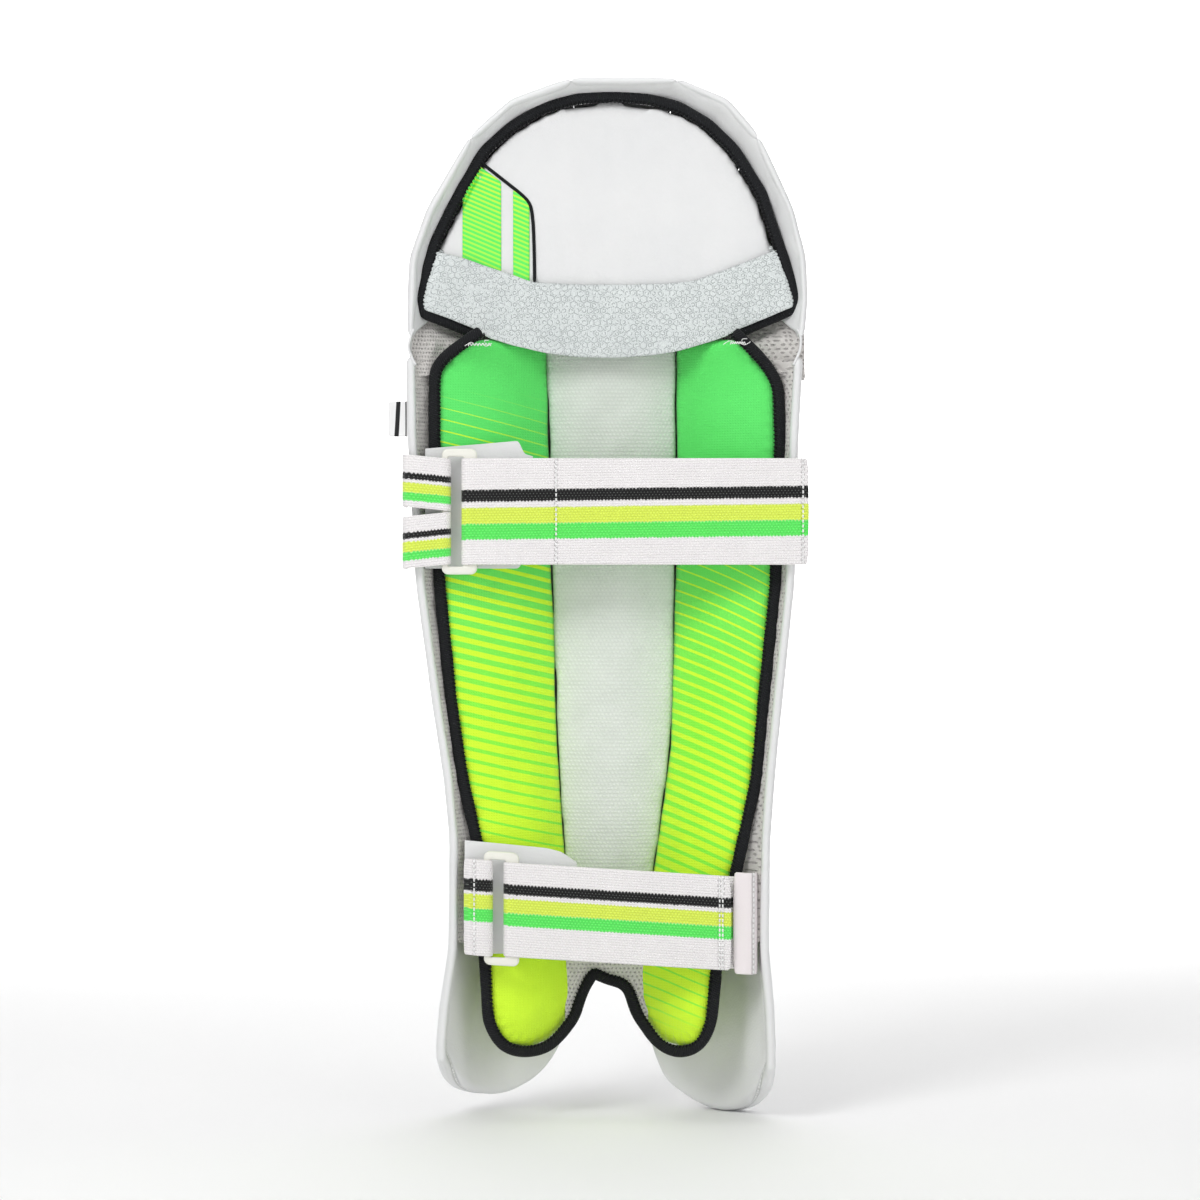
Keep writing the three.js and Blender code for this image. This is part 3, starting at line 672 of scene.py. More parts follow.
def green_liner(name, side):
    """The liner's sublimated knit: spring green at the top, neon yellow at the foot, thin drawn lines, and
    painted shade along its bound edge.
    """
    look = Look(name, 0.62, 0.25, 0.35)
    x, d, z = look.axes()
    green, lime, yellow = rgb(92, 232, 106), rgb(140, 247, 62), rgb(212, 255, 44)
    base = look.blend(look.step(z, 250, 430), lime, green)
    if side < 0:
        slope, pitch, top, full = 0.24, 7.5, 478, 175
        line = z + x * slope
        yellow_end = 90
    else:
        slope, pitch, top, full = 0.3, 7.4, 385, 110
        bow = (x - 30) * (x - 30) * 0.0016
        line = z + x * slope + bow
        yellow_end = 40
    share = look.node("ShaderNodeMapRange", {0: z, 1: top, 2: full, 3: 0.05, 4: 0.84}, clamp=True)
    cycle = look.math("ABSOLUTE", look.fraction(line * (1 / pitch)) - 0.5)
    half = share * 0.5
    stripe = look.step(cycle, half - 0.04, half + 0.04, 1, 0)
    fade = look.step(z, top - 12, top + 8, 1, 0)
    if side < 0:
        fade = fade * look.step(z + x * 0.9, 360, 430, 1, 0.35)
    stripe = look.math("MAXIMUM", stripe * fade, look.step(z, yellow_end + 14, yellow_end + 42, 1, 0))
    colour = look.blend(stripe, base, yellow)
    edge = look.attribute("edge")
    # painted shade: darker green within about 3 mm of the bound edge, under the binding
    colour = look.blend(look.step(edge, 0, 3.2, 0.38, 0), colour, rgb(58, 150, 50))
    weave(look, x, z, 1.7, 0.16)
    look.raise_by(look.noise(1.4, 2), 0.08)
    pull = look.step(edge, 1, 13, 1, 0) * look.wave(look.attribute("run"), 8.5)
    look.raise_by(pull, 0.55)
    look.raise_by(look.noise(30, 2), 2.2, 0.5)
    return look.done(colour)


def channel_knit(name):
    look = Look(name, 0.75, 0.3, 0.3)
    x, d, z = look.axes()
    colour = look.blend(look.noise(20, 3), rgb(232, 236, 230), rgb(214, 220, 212))
    edge = look.attribute("edge")
    # painted shade: darker green-grey within 5 mm of the seams
    colour = look.blend(look.step(edge, 0, 5, 0.5, 0), colour, rgb(150, 170, 146))
    row = look.wave(z, 2.6)
    rib = row * look.wave(x + look.math("FLOOR", z * (1 / 2.6)) * 1.3, 2.6)
    look.raise_by(rib, 0.3)
    # painted shade: the low parts of the knit's ribs are a little darker
    colour = look.blend(look.step(rib, 0.0, 0.35, 1, 0) * 0.16, colour, rgb(150, 158, 150))
    pull = look.step(edge, 1, 10, 1, 0) * look.wave(look.attribute("run"), 8.5)
    look.raise_by(pull, 0.6)
    look.raise_by(look.noise(24, 2), 1.6, 0.5)
    return look.done(colour)


def black_binding(name):
    """Folded woven tape: fine diagonal ribs with a painted highlight on their crests, and random tone."""
    look = Look(name, 0.75, 0.06, 0.22)
    run, across = look.attribute("run"), look.attribute("across")
    rib = look.wave(run + across * 1.6, 1.5)
    look.raise_by(rib, 0.22)
    look.raise_by(look.noise(8, 2), 0.7)
    # painted highlight: the crests of the ribs are lighter
    colour = look.blend(rib * 0.5, rgb(14, 15, 17), rgb(36, 38, 42))
    return look.done(look.blend(look.noise(10, 2) * 0.4, colour, rgb(24, 26, 29)))


def embossed(name):
    """Silvery PU pressed with a maze of fine hexagons, each with a gap in its inner ring, and painted shade
    along its top and bottom edges.
    """
    look = Look(name, 0.4, 0.05, 0.5)
    x, d, z = look.axes()
    cell, tall = 4.4, math.sqrt(3)
    px, pz = (x * (1 / cell), z * (1 / cell))

    def lattice(shift):
        u = look.fraction(px + shift) - 0.5
        v = look.fraction(pz * (1 / tall) + shift) * tall - tall / 2
        return (u, v, u * u + v * v)

    ua, va, ra = lattice(0.0)
    ub, vb, rb = lattice(0.5)
    first = look.math("LESS_THAN", ra, rb)
    u = first * ua + (1 - first) * ub
    v = first * va + (1 - first) * vb
    au, av = look.math("ABSOLUTE", u), look.math("ABSOLUTE", v)
    hexagon = look.math("MAXIMUM", au, au * 0.5 + av * 0.866)
    gap = look.step(look.noise(2.6, 0), 0.46, 0.52)
    border = look.inside(hexagon, 0.5, 0.055, 0.03) * look.math("MAXIMUM", gap, 0.25)
    ring = look.inside(hexagon, 0.24, 0.05, 0.03) * (1 - gap * 0.8)
    line = look.math("MAXIMUM", border, ring)
    look.raise_by(line, 0.45)
    look.raise_by(look.noise(20, 2), 1.2, 0.5)
    base = look.blend(look.noise(24, 2), rgb(226, 231, 230), rgb(210, 216, 216))
    colour = look.blend(line * 0.55, base, rgb(176, 184, 184))
    # painted shade: darker grey within a millimetre of the band's top and bottom edges
    return look.done(look.blend(look.step(look.attribute("edge"), 0, 1.0, 0.3, 0), colour,
                                rgb(150, 153, 152)))


def print_film(name):
    look = Look(name, 0.45, 0.0, 0.4)
    x, d, z = look.axes()
    green, yellow = rgb(96, 240, 96), rgb(214, 255, 60)
    line = z + x * 0.42
    stripe = look.inside(look.fraction(line * (1 / 3.1)), 0.5, 0.2, 0.1)
    share = look.step(z, 560, 655, 0.55, 1)
    colour = look.blend(stripe * share, green, yellow)
    look.raise_by(look.cells(1.5, "F1"), 0.1, 0.5)
    look.raise_by(look.noise(14, 2), 0.8, 0.5)
    return look.done(colour)


def webbing(name, stripes, centre, slope=0.0, seams=(), soft=0.45):
    """Elastic webbing: a ribbed white weave with coloured stripes and painted shade in the weave's hollows.
    stripes are (from, to, colour) above its centre."""
    look = Look(name, 0.88, 0.3, 0.2)
    x, d, z = look.axes()
    v = z - centre - x * slope
    along = x + d
    rib = look.wave(along + look.math("FLOOR", v * (1 / 1.7)) * 1.1, 2.2)
    row = look.wave(v, 1.7)
    cloth = rib * row
    look.raise_by(cloth, 0.5)
    look.raise_by(look.noise(6, 2), 0.5)
    colour = look.blend(look.noise(16, 3), rgb(252, 249, 249), rgb(243, 239, 240))
    # painted shade: the weave's hollows are darkened
    colour = look.blend(look.step(cloth, 0, 0.3, 1, 0) * 0.25, colour, rgb(188, 184, 186))
    ragged = look.math("MULTIPLY_ADD", rib, 0.7, -0.35)
    ragged = ragged + look.math("MULTIPLY_ADD", look.noise(3, 1), 1.0, -0.5)
    for low, high, tint in stripes:
        mask = look.inside(v + ragged, (low + high) / 2, (high - low) / 2, soft)
        # painted shade: each stripe's colour is darker in the weave's hollows; the light specks on the crests
        # below are the white elastic strands
        shade = look.blend(look.step(cloth, 0, 0.35, 1, 0) * 0.3, rgb(*tint), rgb(*[c * 0.6 for c in tint]))
        shade = look.blend(look.step(cloth, 0.72, 0.95) * 0.22, shade, rgb(225, 235, 225))
        colour = look.blend(mask, colour, shade)
    for place in seams:
        dash = look.inside(look.fraction(v * (1 / 3.2)), 0.5, 0.34, 0.08)
        thread = look.inside(x, place, 0.5, 0.2) * dash
        look.raise_by(look.inside(x, place, 1.0, 0.7), -0.7)
        look.raise_by(thread, 0.5)
        colour = look.blend(thread, colour, rgb(250, 250, 250))
    return look.done(colour)


def fuzzy(name, tint, size=1.6):
    look = Look(name, 0.95, 0.6, 0.15)
    look.raise_by(look.cells(size, "F1"), 0.7)
    look.raise_by(look.noise(0.8, 3), 0.3)
    dark = rgb(*[c * 0.8 for c in tint])
    return look.done(look.blend(look.cells(size, "F1"), rgb(*tint), dark))


def plastic(name, tint):
    look = Look(name, 0.34, 0.0, 0.5)
    look.raise_by(look.noise(4, 2), 0.12)
    colour = look.blend(look.noise(12, 2), rgb(*tint), rgb(*[c * 0.95 for c in tint]))
    return look.done(colour, None, 0.2)


def plain(name, tint, roughness=0.8, grain=1.2, depth=0.2):
    look = Look(name, roughness, 0.2, 0.3)
    look.raise_by(look.noise(grain, 3), depth)
    return look.done(look.blend(look.noise(18, 2), rgb(*tint), rgb(*[c * 0.92 for c in tint])))


def label_look(name):
    """A woven tab: white, with a slanting black bar and a thin black selvedge."""
    look = Look(name, 0.6, 0.2, 0.3)
    x, d, z = look.axes()
    slanted = x - -138.5 + (z - 464.7) * -0.06
    bar = look.inside(slanted, 0, 1.5, 0.15)
    selvedge = look.inside(x, -132.7, 0.45, 0.15)
    weave(look, x, z, 0.8, 0.08)
    colour = look.blend(look.math("MAXIMUM", bar, selvedge), rgb(240, 240, 240), rgb(22, 22, 24))
    return look.done(colour)


# ---------------------------------------------------------------- the shin shell

PU = leather("white_pu", band=0, seam=7)
PU_RIM = leather("white_pu_rim", band=9, seam=0)
PU_PLAIN = leather("white_pu_plain")
PU_BLUSH = leather("white_pu_tab", (240, 232, 233), band=3)
NET = spacer_mesh("spacer_mesh")
BLACK = black_binding("black_binding")
LINING = plain("grey_lining", (198, 197, 194), 0.9, 1.6, 0.3)


ARCH_LOW, ARCH_HIGH = 0.198, 0.14  # place on the U of a lobe's arch edge, at its corner and at the ankle


def lobe_place(s, height):
    return mix(1, mix(ARCH_LOW, ARCH_HIGH, clamp((height - 45) / 60)), s)


def lobe_bottom(s, side):
    return on_line(LOBE_EDGES[side], mix(1, ARCH_LOW, s))


def side_skin(side, word):
    """Wing and instep lobe as one skin: a rim, an outer face and a padded inner face."""
    turn = (1 - FRONT_EDGE) / (1 - ARCH_HIGH)
    wing_s = list(np.linspace(0, turn, 13))
    lobe_s = wing_s + list(np.linspace(turn, 1, 10))[1:]
    lobe_t = list(np.linspace(0, 1, 15))
    wing_z = list(np.linspace(INSTEP_LINE, SHIN_TOP, 46))[1:]

    def place(s, height, inner):
        p = lobe_place(s, height)
        rise = clamp((INSTEP_LINE + 40 - height) / 70)
        pad = WING_THICKNESS + WING_GROWTH * min(1, s / turn) + 9 * rise * ease(s / 0.35)
        return shell_point(side * p, height, pad if inner else 0.0)

    verts, faces = [], []

    def surface(inner):
        index = {}
        for j, t in enumerate(lobe_t):
            for i, s in enumerate(lobe_s):
                index[i, j] = len(verts)
                verts.append(place(s, mix(lobe_bottom(s, side), INSTEP_LINE, t), inner))
        for j, z in enumerate(wing_z, len(lobe_t)):
            for i, s in enumerate(wing_s):
                index[i, j] = len(verts)
                verts.append(place(s, z, inner))
        for i, j in index:
            corners = [(i, j), (i + 1, j), (i + 1, j + 1), (i, j + 1)]
            if all(c in index for c in corners):
                faces.append(tuple(index[c] for c in corners))
        return index

    outer, inner = surface(False), surface(True)
    nl, nw, rows, low = len(lobe_s), len(wing_s), len(lobe_t) + len(wing_z), len(lobe_t)
    ring = [(i, 0) for i in range(nl)] + [(nl - 1, j) for j in range(1, low)]
    ring += [(i, low - 1) for i in range(nl - 2, nw - 2, -1)] + [(nw - 1, j) for j in range(low, rows)]
    ring += [(i, rows - 1) for i in range(nw - 2, -1, -1)] + [(0, j) for j in range(rows - 2, 0, -1)]
    for a, b in zip(ring, ring[1:] + ring[:1]):
        faces.append((outer[a], outer[b], inner[b], inner[a]))
    obj = make(f"{word}_side_skin", verts, faces, 2)
    rim = [place(0, z, False) for z in np.linspace(SHIN_TOP, INSTEP_LINE, 120)]
    rim += [place(0, z, False) for z in np.linspace(INSTEP_LINE, lobe_bottom(0, side), 20)]
    rim += [place(s, lobe_bottom(s, side), False) for s in np.linspace(0, 1, 60)]
    rim += [place(1, z, False) for z in np.linspace(lobe_bottom(1, side), INSTEP_LINE, 20)]
    tag(obj, rim)
    edge = np.empty(len(obj.data.vertices))
    obj.data.attributes["edge"].data.foreach_get("value", edge)
    wrinkle = creases(1.2, 26, side * 4.0, 1.5)
    displace(obj, lambda p, i: 0.9 * math.exp(-((edge[i] - 4) / 3.5) ** 2)
             - 0.7 * math.exp(-((edge[i] - 9) / 2.0) ** 2)
             + wrinkle(p, i) * clamp(edge[i] / 14, 0.25, 1))
    mark_rest(obj)
    return dress(obj, PU_RIM, "shin", "white_pu", f"{word}_wing", f"{word}_instep_lobe")


def front_bolster(index, count=5):
    start = mix(-FRONT_EDGE, FRONT_EDGE, index / count)
    end = mix(-FRONT_EDGE, FRONT_EDGE, (index + 1) / count)
    width = 34

    def leg(s, t):
        return shell_point(mix(start, end, s), mix(INSTEP_LINE, SHIN_TOP, t), FRONT_THICKNESS)

    def front(s, t):
        crown = -BOLSTER_CROWN * (1 - abs(2 * s - 1) ** 3)
        taper = 2.5 * (ease((t - 0.97) / 0.03) + ease((0.015 - t) / 0.015))
        return shell_point(mix(start, end, s), mix(INSTEP_LINE, SHIN_TOP, t), crown + taper + 0.4)

    obj = pillow(f"front_bolster_{index + 1}", (8, 60), leg, front, (width, 400), 7)
    edges = [[shell_point(p, z, 1) for z in np.linspace(INSTEP_LINE, SHIN_TOP, 100)] for p in (start, end)]
    tag(obj, *edges)
    displace(obj, creases(1.3, 24, index * 5.3, 1.8))
    return dress(obj, PU, "shin", "white_pu", f"shin_bolster_{index + 1}")


def inner_web(word, side):
    """Spacer mesh that bridges from the wing's rim to the bound edge of the liner."""
    def place(z, s):
        rim = shell_point(side * 0.992, z, WING_THICKNESS + 0.2)
        edge = column(LINER_OUTLINE, z, 1 if side < 0 else 2)
        sag = 5 * math.sin(math.pi * s) * clamp((z - 110) / 60)
        return mix(rim[0], edge - side * 1.5, s), mix(4.5, LINER_EDGE_DEPTH + 6, s) + sag, z

    heights = np.linspace(119, SHIN_TOP - 0.5, 90)
    obj = tag(rows_mesh(f"{word}_side_web", grid(heights, np.linspace(0, 1, 9), place)))
    displace(obj, ripples((0.9, 9, side * 2.0), (0.35, 2.6, 4)))
    mark_rest(obj)
    thicken(obj, 1.2)
    return dress(obj, NET, "shin", "lining_mesh", f"{word}_wing_mesh")


side_skin(-1, "left")
side_skin(1, "right")
for n in range(5):
    front_bolster(n)
inner_web("left", -1)
inner_web("right", 1)


def core_block():
    """The foam core in its grey lining, closing the shell's hollow behind the liner."""
    depth = FRONT_THICKNESS + 5

    def front(s, t):
        return shell_point(mix(-0.43, 0.43, s), mix(INSTEP_LINE + 1, SHIN_TOP - 2, t), depth)

    def leg(s, t):
        p = front(s, t)
        p[1] = liner_depth(p[0], p[2]) + LINER_THICKNESS + 3
        return p

    obj = tag(pillow("foam_core_lining", (12, 20), leg, front, (140, 400), 5))
    return dress(obj, LINING, "shin", "foam", "shin_foam_core")


core_block()

# ---------------------------------------------------------------- the liner

def waist_rise(height):
    """How far the liner's bound edge comes towards the leg at the waist, so that the knee can bend."""
    return 9 * ease((height - 498) / 16)


def liner_point(side, s, t, spare=0.0):
    """A place on a side bolster. spare is how far it runs on under the binding."""
    height = mix(on_line(LINER_FOOT, s) - spare, LINER_TOP, t)
    c = 1 if side < 0 else 2
    edge, seam = column(LINER_OUTLINE, height, c) + side * spare, column(LINER_SEAMS, height, c) - side * 0.8
    return mix(edge, seam, s), height


def liner_bolster(side, word):
    def face(s, t, k, spare=3.0):
        x, z = liner_point(side, s, t, spare)
        trough = mix(LINER_EDGE_DEPTH, LINER_SEAM_DEPTH - 3, ease(s) * 0.45 + s * 0.55)
        trough -= waist_rise(z) * clamp(1 - 4 * s)
        crown = 9.5 * clamp(t / 0.05) * math.sin(math.pi * s) ** 0.75
        swell = math.sin(math.pi * clamp(s)) ** 0.6 * clamp(t / 0.04)
        thickness = mix(6, LINER_THICKNESS - 1, swell) + 4 * s
        return np.array([x, trough + thickness if k else trough - crown + 1, z])

    obj = pillow(f"liner_{word}_cushion", (14, 52), *both(face), (70, 450), 4)
    ts = np.linspace(0, 1, 200)
    outer = [face(0, t, 0, 0) + [0, 2, 0] for t in ts[::-1]]
    foot = [face(s, 0, 0, 0) + [0, 2, 0] for s in np.linspace(0, 1, 60)]
    seam = [face(1, t, 0, 0) + [0, 2, 0] for t in ts]
    edge = outer + foot + seam
    find = nearest(edge)
    inflate(obj, lambda p: find(p)[2] < 6.5 or p[2] > LINER_TOP - 5)
    tag(obj, edge)
    displace(obj, ripples((0.8, 30, side), (0.35, 11, side * 2)))
    look = green_liner(f"green_liner_{word}", side)
    return dress(obj, look, "shin", "green_fabric", f"liner_{word}_bolster")


def liner_channel():
    def face(s, t, k):
        z = mix(103, LINER_TOP, t)
        x = mix(column(LINER_SEAMS, z, 1) - 0.8, column(LINER_SEAMS, z, 2) + 0.8, s)
        swell = math.sin(math.pi * s) ** 0.8 * clamp(t / 0.04)
        front = LINER_SEAM_DEPTH - 2 - 9 * swell
        return np.array([x, LINER_SEAM_DEPTH + mix(6, LINER_THICKNESS - 1, swell) if k else front, z])

    obj = pillow("liner_channel_cushion", (16, 60), *both(face), (72, 400), 4)
    ts = np.linspace(0, 1, 160)
    seams = [[face(s, t, 0) + [0, 2, 0] for t in ts] for s in (0, 1)]
    find = nearest(seams[0] + seams[1])
    inflate(obj, lambda p: find(p)[2] < 6 or p[2] > LINER_TOP - 5, cap=6)
    tag(obj, *seams)
    displace(obj, ripples((0.7, 26, 9), (0.3, 10, 5)))
    return dress(obj, channel_knit("channel_knit"), "shin", "channel_fabric", "liner_channel")


def surface_depth(objects, x, z, default):
    """Depth, in the pad's millimetres, of the leg face of the objects at a place."""
    origin = metres((x, -60, z))
    best = None
    for tree in objects:
        hit = tree.ray_cast(origin, Vector((0, 1, 0)))
        if hit[0] is not None:
            d = hit[0].y * 1000 - SHIFT[1]
            best = d if best is None else min(best, d)
    return default if best is None else best


def tree_of(obj):
    mesh = obj.data
    return BVHTree.FromPolygons([v.co for v in mesh.vertices], [tuple(p.vertices) for p in mesh.polygons])


liner_bolster(-1, "left")
liner_bolster(1, "right")
liner_channel()

NOTCH = [(-28.5, 60), (-22, 76), (-19, 84), (-15, 92), (-11, 98), (-8, 99.5), (-3, 95.5), (4, 93), (10, 92.3),
         (14.5, 89.5), (18, 84), (20.5, 76), (28, 60)]


def instep_mesh():
    """The spacer mesh patch between the liner's lobes, down to the bound notch."""
    def place(t, x):
        depth = LINER_SEAM_DEPTH - 5.5 - 1.5 * math.sin(math.pi * t)
        return x, depth, mix(on_line(NOTCH, x) - 2.5, 118, t)

    rows = grid(np.linspace(0, 1, 16), np.linspace(-28, 27.5, 40), place)
    obj = tag(rows_mesh("instep_mesh_patch", rows))
    displace(obj, ripples((0.4, 6, 1.2)))
    thicken(obj, 1.0)
    return dress(obj, NET, "shin", "lining_mesh", "liner_instep_mesh")


instep_mesh()


def notch_points(corners):
    return [np.array([x, LINER_SEAM_DEPTH - 6, z]) for x, z in corners]


def liner_edge_line(side):
    """The bound edge from the waist, down the side, round the lobe's end and up to the notch."""
    line = []
    for t in np.linspace(1, 0.0, 80):
        x, z = liner_point(side, 0, t)
        line.append(np.array([x, LINER_EDGE_DEPTH - waist_rise(z), z]))
    for s in np.linspace(0, 1, 40)[1:]:
        x, z = liner_point(side, s, 0)
        line.append(np.array([x, mix(LINER_EDGE_DEPTH, LINER_SEAM_DEPTH - 6, s), z]))
    return line + notch_points(NOTCH[1:4] if side < 0 else NOTCH[11:8:-1])


def liner_binding():
    peak = notch_points(NOTCH[4:9])
    line = smooth_line(liner_edge_line(-1) + peak + liner_edge_line(1)[::-1], 3.0, 3)
    obj = ribbon("liner_binding_tape", line, -1, BINDING + 1, 7.5, wave=0.12, lap=BINDING_LAP)
    sewn = stitches("liner_binding_stitches", line + [0, -2.5, 0], *BINDING_STITCH)
    dress(sewn, BLACK_THREAD, "shin", "thread")
    return dress(obj, BLACK, "shin", "black_tape", "liner_binding")


BLACK_THREAD = plain("black_thread", (20, 21, 23), 0.9, 0.6, 0.1)
for socket, value in (("Sheen Weight", 0), ("Specular IOR Level", 0.15)):
    BLACK_THREAD.node_tree.nodes["Principled BSDF"].inputs[socket].default_value = value
WHITE_THREAD = plain("white_thread", (244, 244, 243), 0.6, 0.6, 0.1)
liner_binding()

# ---------------------------------------------------------------- the knee section

def dome_facets():
    left = [(r[1], r[0]) for r in DOME_OUTLINE]
    right = [(r[2], r[0]) for r in DOME_OUTLINE]
    rims = {"left": left[:5], "upper_left": left[4:], "crown": [left[-1], right[-1]],
            "upper_right": right[4:][::-1], "right": right[:5][::-1]}
    for number, (word, corners) in enumerate(rims.items()):
        line, _ = resample(corners, 2.0)
        length = float(np.linalg.norm(np.diff(np.array(corners, float), axis=0), axis=1).sum())
        steps = len(line) - 1

        def rim_at(s, line=line, steps=steps):
            i = min(int(s * steps), steps - 1)
            return mix(line[i], line[i + 1], s * steps - i)

        def outside(s, t, rim_at=rim_at):
            bulge = 2.6 * math.sin(math.pi * clamp(t * 1.02)) ** 0.5 * math.sin(math.pi * clamp(s)) ** 0.35
            return dome_point(rim_at(s), 0.68 * t, 1.0 - bulge)

        def inside(s, t, rim_at=rim_at):
            return dome_point(rim_at(s), 0.66 * t, 5.5 + 8.5 * t)

        obj = pillow(f"knee_dome_{word}_panel", (max(6, steps // 3), 26), inside, outside, (length, 110), 4.5)
        ends = [[outside(s, t) for t in np.linspace(0, 1, 60)] for s in (0, 1)]
        tag(obj, *ends, [outside(s, 1) for s in np.linspace(0, 1, 60)])
        displace(obj, creases(1.1, 24, number * 3.7, 1.0))
        dress(obj, PU, "knee", "white_pu", f"knee_dome_{word}")


def scaled_outline(scale):
    return np.array([(mix(519, h, scale), mix(-1, a, scale), mix(-1, b, scale)) for h, a, b in DOME_OUTLINE])


def dome_front():
    """The flat pad on the front of the knee."""
    outline = scaled_outline(0.49)
    face = SHELL_DEPTH + BOLSTER_CROWN

    def place(s, t, d):
        h = mix(KNEE_BOTTOM - 1, outline[-1, 0], t)
        return np.array([mix(column(outline, h, 1), column(outline, h, 2), s), d, h])

    obj = pillow("knee_front_pad", (16, 14), lambda s, t: place(s, t, face - FRONT_THICKNESS),
                 lambda s, t: place(s, t, face + 0.6), (125, 84), 7)
    ring = [place(0, t, face - 3) for t in np.linspace(0, 1, 40)]
    ring += [place(s, 1, face - 3) for s in np.linspace(0, 1, 30)]
    ring += [place(1, t, face - 3) for t in np.linspace(1, 0, 40)]
    tag(obj, ring)
    displace(obj, creases(1.0, 26, 8.8))
    return dress(obj, PU, "knee", "white_pu", "knee_dome_front")


FLAP_EDGE = smooth_line([(x, flap_depth(x, z) + 2.5, z) for x, z in FLAP_EDGE_CORNERS], 2.5, 1)


def flap_inner_edges(height):
    """Left and right edges of the flap at a height, read from its bound edge."""
    half = len(FLAP_EDGE) // 2
    left, right = FLAP_EDGE[:half], FLAP_EDGE[half:][::-1]
    return (float(np.interp(height, left[:, 2], left[:, 0])),
            float(np.interp(height, right[:, 2], right[:, 0])))


def flap_cushion():
    """One padded flap: it fills the bound edge and dips into a shallow bowl for the knee."""
    top = FLAP_EDGE[:, 2].max() - 0.3

    def face(s, t, k):
        z = mix(526, top, t)
        a, b = flap_inner_edges(z)
        x = mix(a, b, s)
        return np.array([x, flap_depth(x, z) + (FLAP_THICKNESS if k else 1.5), z])

    obj = pillow("knee_flap_cushion", (30, 24), *both(face), (230, 150), 5)
    find = nearest(FLAP_EDGE)
    inflate(obj, lambda p: find(p)[2] < 8 or p[2] < 552, cap=3.5, pressure=3)
    tag(obj, FLAP_EDGE)
    displace(obj, lambda p, i: 0.8 * ripple(p, 34, 1.5) + creases(0.9, 30, 2.2)(p, i))
    return dress(obj, PU, "knee", "white_pu", "knee_flap")


dome_facets()
dome_front()
flap = flap_cushion()
flap_tree = [tree_of(flap)]


def knee_band():
    """The embossed band across the bottom of the flap, lying over the top of the liner."""
    def place(t, s):
        x = mix(-124, 125, s)
        z = mix(on_line(BAND_BOTTOM, x), on_line(BAND_TOP, x), t)
        left, right = flap_inner_edges(max(z, 543))
        x = clamp(x, left + 1.2, right - 1.2)
        near_end = ease(1 - min(x - left, right - x) / 5)
        d = min(flap_depth(x, z), surface_depth(flap_tree, x, max(z, 540), 30)) - 0.9 + 3 * near_end
        return x, d - 0.7 * math.sin(math.pi * t) ** 0.5, z

    rows = grid(spread(16, 0.06), spread(60, 0.02), place)
    obj = tag(rows_mesh("knee_band_cover", rows), rows[-1], rows[0])
    displace(obj, ripples((0.7, 22, 5.5), (0.4, 9, 2.5)))
    thicken(obj, 2.6, -1)
    return dress(obj, embossed("embossed_band"), "knee", "embossed_pu", "knee_band")


band = knee_band()
flap_trees = flap_tree + [tree_of(band)]


def film(name, corners, node):
    """Printed film on the flap: a patch given by its [x, lower edge, upper edge] from left to right."""
    table = np.array(corners, float)

    def place(t, x):
        z = mix(column(table, x, 1), column(table, x, 2), t)
        return x, surface_depth(flap_tree, x, z, 12) - 0.35, z

    rows = grid(np.linspace(0, 1, 26), resample(table[:, :1], 1.8)[0][:, 0], place)
    obj = tag(rows_mesh(name, rows))
    thicken(obj, 0.3)
    return dress(obj, PRINT, "knee", "print_film", node)


PRINT = print_film("printed_film")
film("knee_print_left", [(-95.8, 570, 612), (-94.3, 569.5, 618), (-86, 567, 633.5), (-70.3, 562, 622.5)],
     "knee_print_outer")
film("knee_print_right", [(-62.3, 558.5, 617.3), (-51.5, 555, 609.5)], "knee_print_inner")


def piping():
    corners = [(-86, 637), (-83, 634), (-56, 613), (-50.5, 607.5), (-49, 595), (-48.3, 575), (-48.1, 556)]
    line = smooth_line([(x, 0, z) for x, z in corners], 2.5, 2)
    for p in line:
        p[1] = surface_depth(flap_trees, p[0], p[2], 12) - 0.2
    line[1:-1, 1] = (line[:-2, 1] + line[1:-1, 1] + line[2:, 1]) / 3
    obj = ribbon("knee_piping_cord", line + [-1.2, 0, 0], 1, 2.4, 1.8)
    return dress(obj, BLACK, "knee", "black_tape", "knee_piping")


piping()


def flap_binding():
    obj = ribbon("knee_flap_binding_tape", FLAP_EDGE, 1, BINDING + 0.9, 8, wave=0.1, lap=BINDING_LAP)
    sewn = stitches("knee_binding_stitches", FLAP_EDGE + [0, -2.7, 0], *BINDING_STITCH)
    dress(sewn, BLACK_THREAD, "knee", "thread")
    return dress(obj, BLACK, "knee", "black_tape", "knee_flap_binding")


flap_binding()


def knee_inner_skin():
    """White PU lining from the dome's rim down to the flap's bound edge."""
    line = [(r[1], r[0]) for r in DOME_OUTLINE] + [(r[2], r[0]) for r in DOME_OUTLINE][::-1]
    edge, _ = resample(FLAP_EDGE, 2.0)
    rows = []
    for r in resample(line, 5.0)[0]:
        away = (r - DOME_CENTRE) / np.linalg.norm(r - DOME_CENTRE)
        start = r - away * 3.2
        target = edge[int(np.argmin(np.linalg.norm(edge[:, [0, 2]] - (start - away * 10), axis=1)))]
        rows.append([np.array([mix(start[0], target[0], t),
                               mix(1.5, target[1] + 5, ease(t)) + 3 * math.sin(math.pi * t),
                               mix(start[1], target[2], t)]) for t in np.linspace(0, 1, 8)])
    obj = tag(rows_mesh("knee_inner_skin", rows))
    displace(obj, ripples((0.6, 12, 3.3)))
    thicken(obj, 1.0)
    return dress(obj, PU_PLAIN, "knee", "white_pu")


knee_inner_skin()
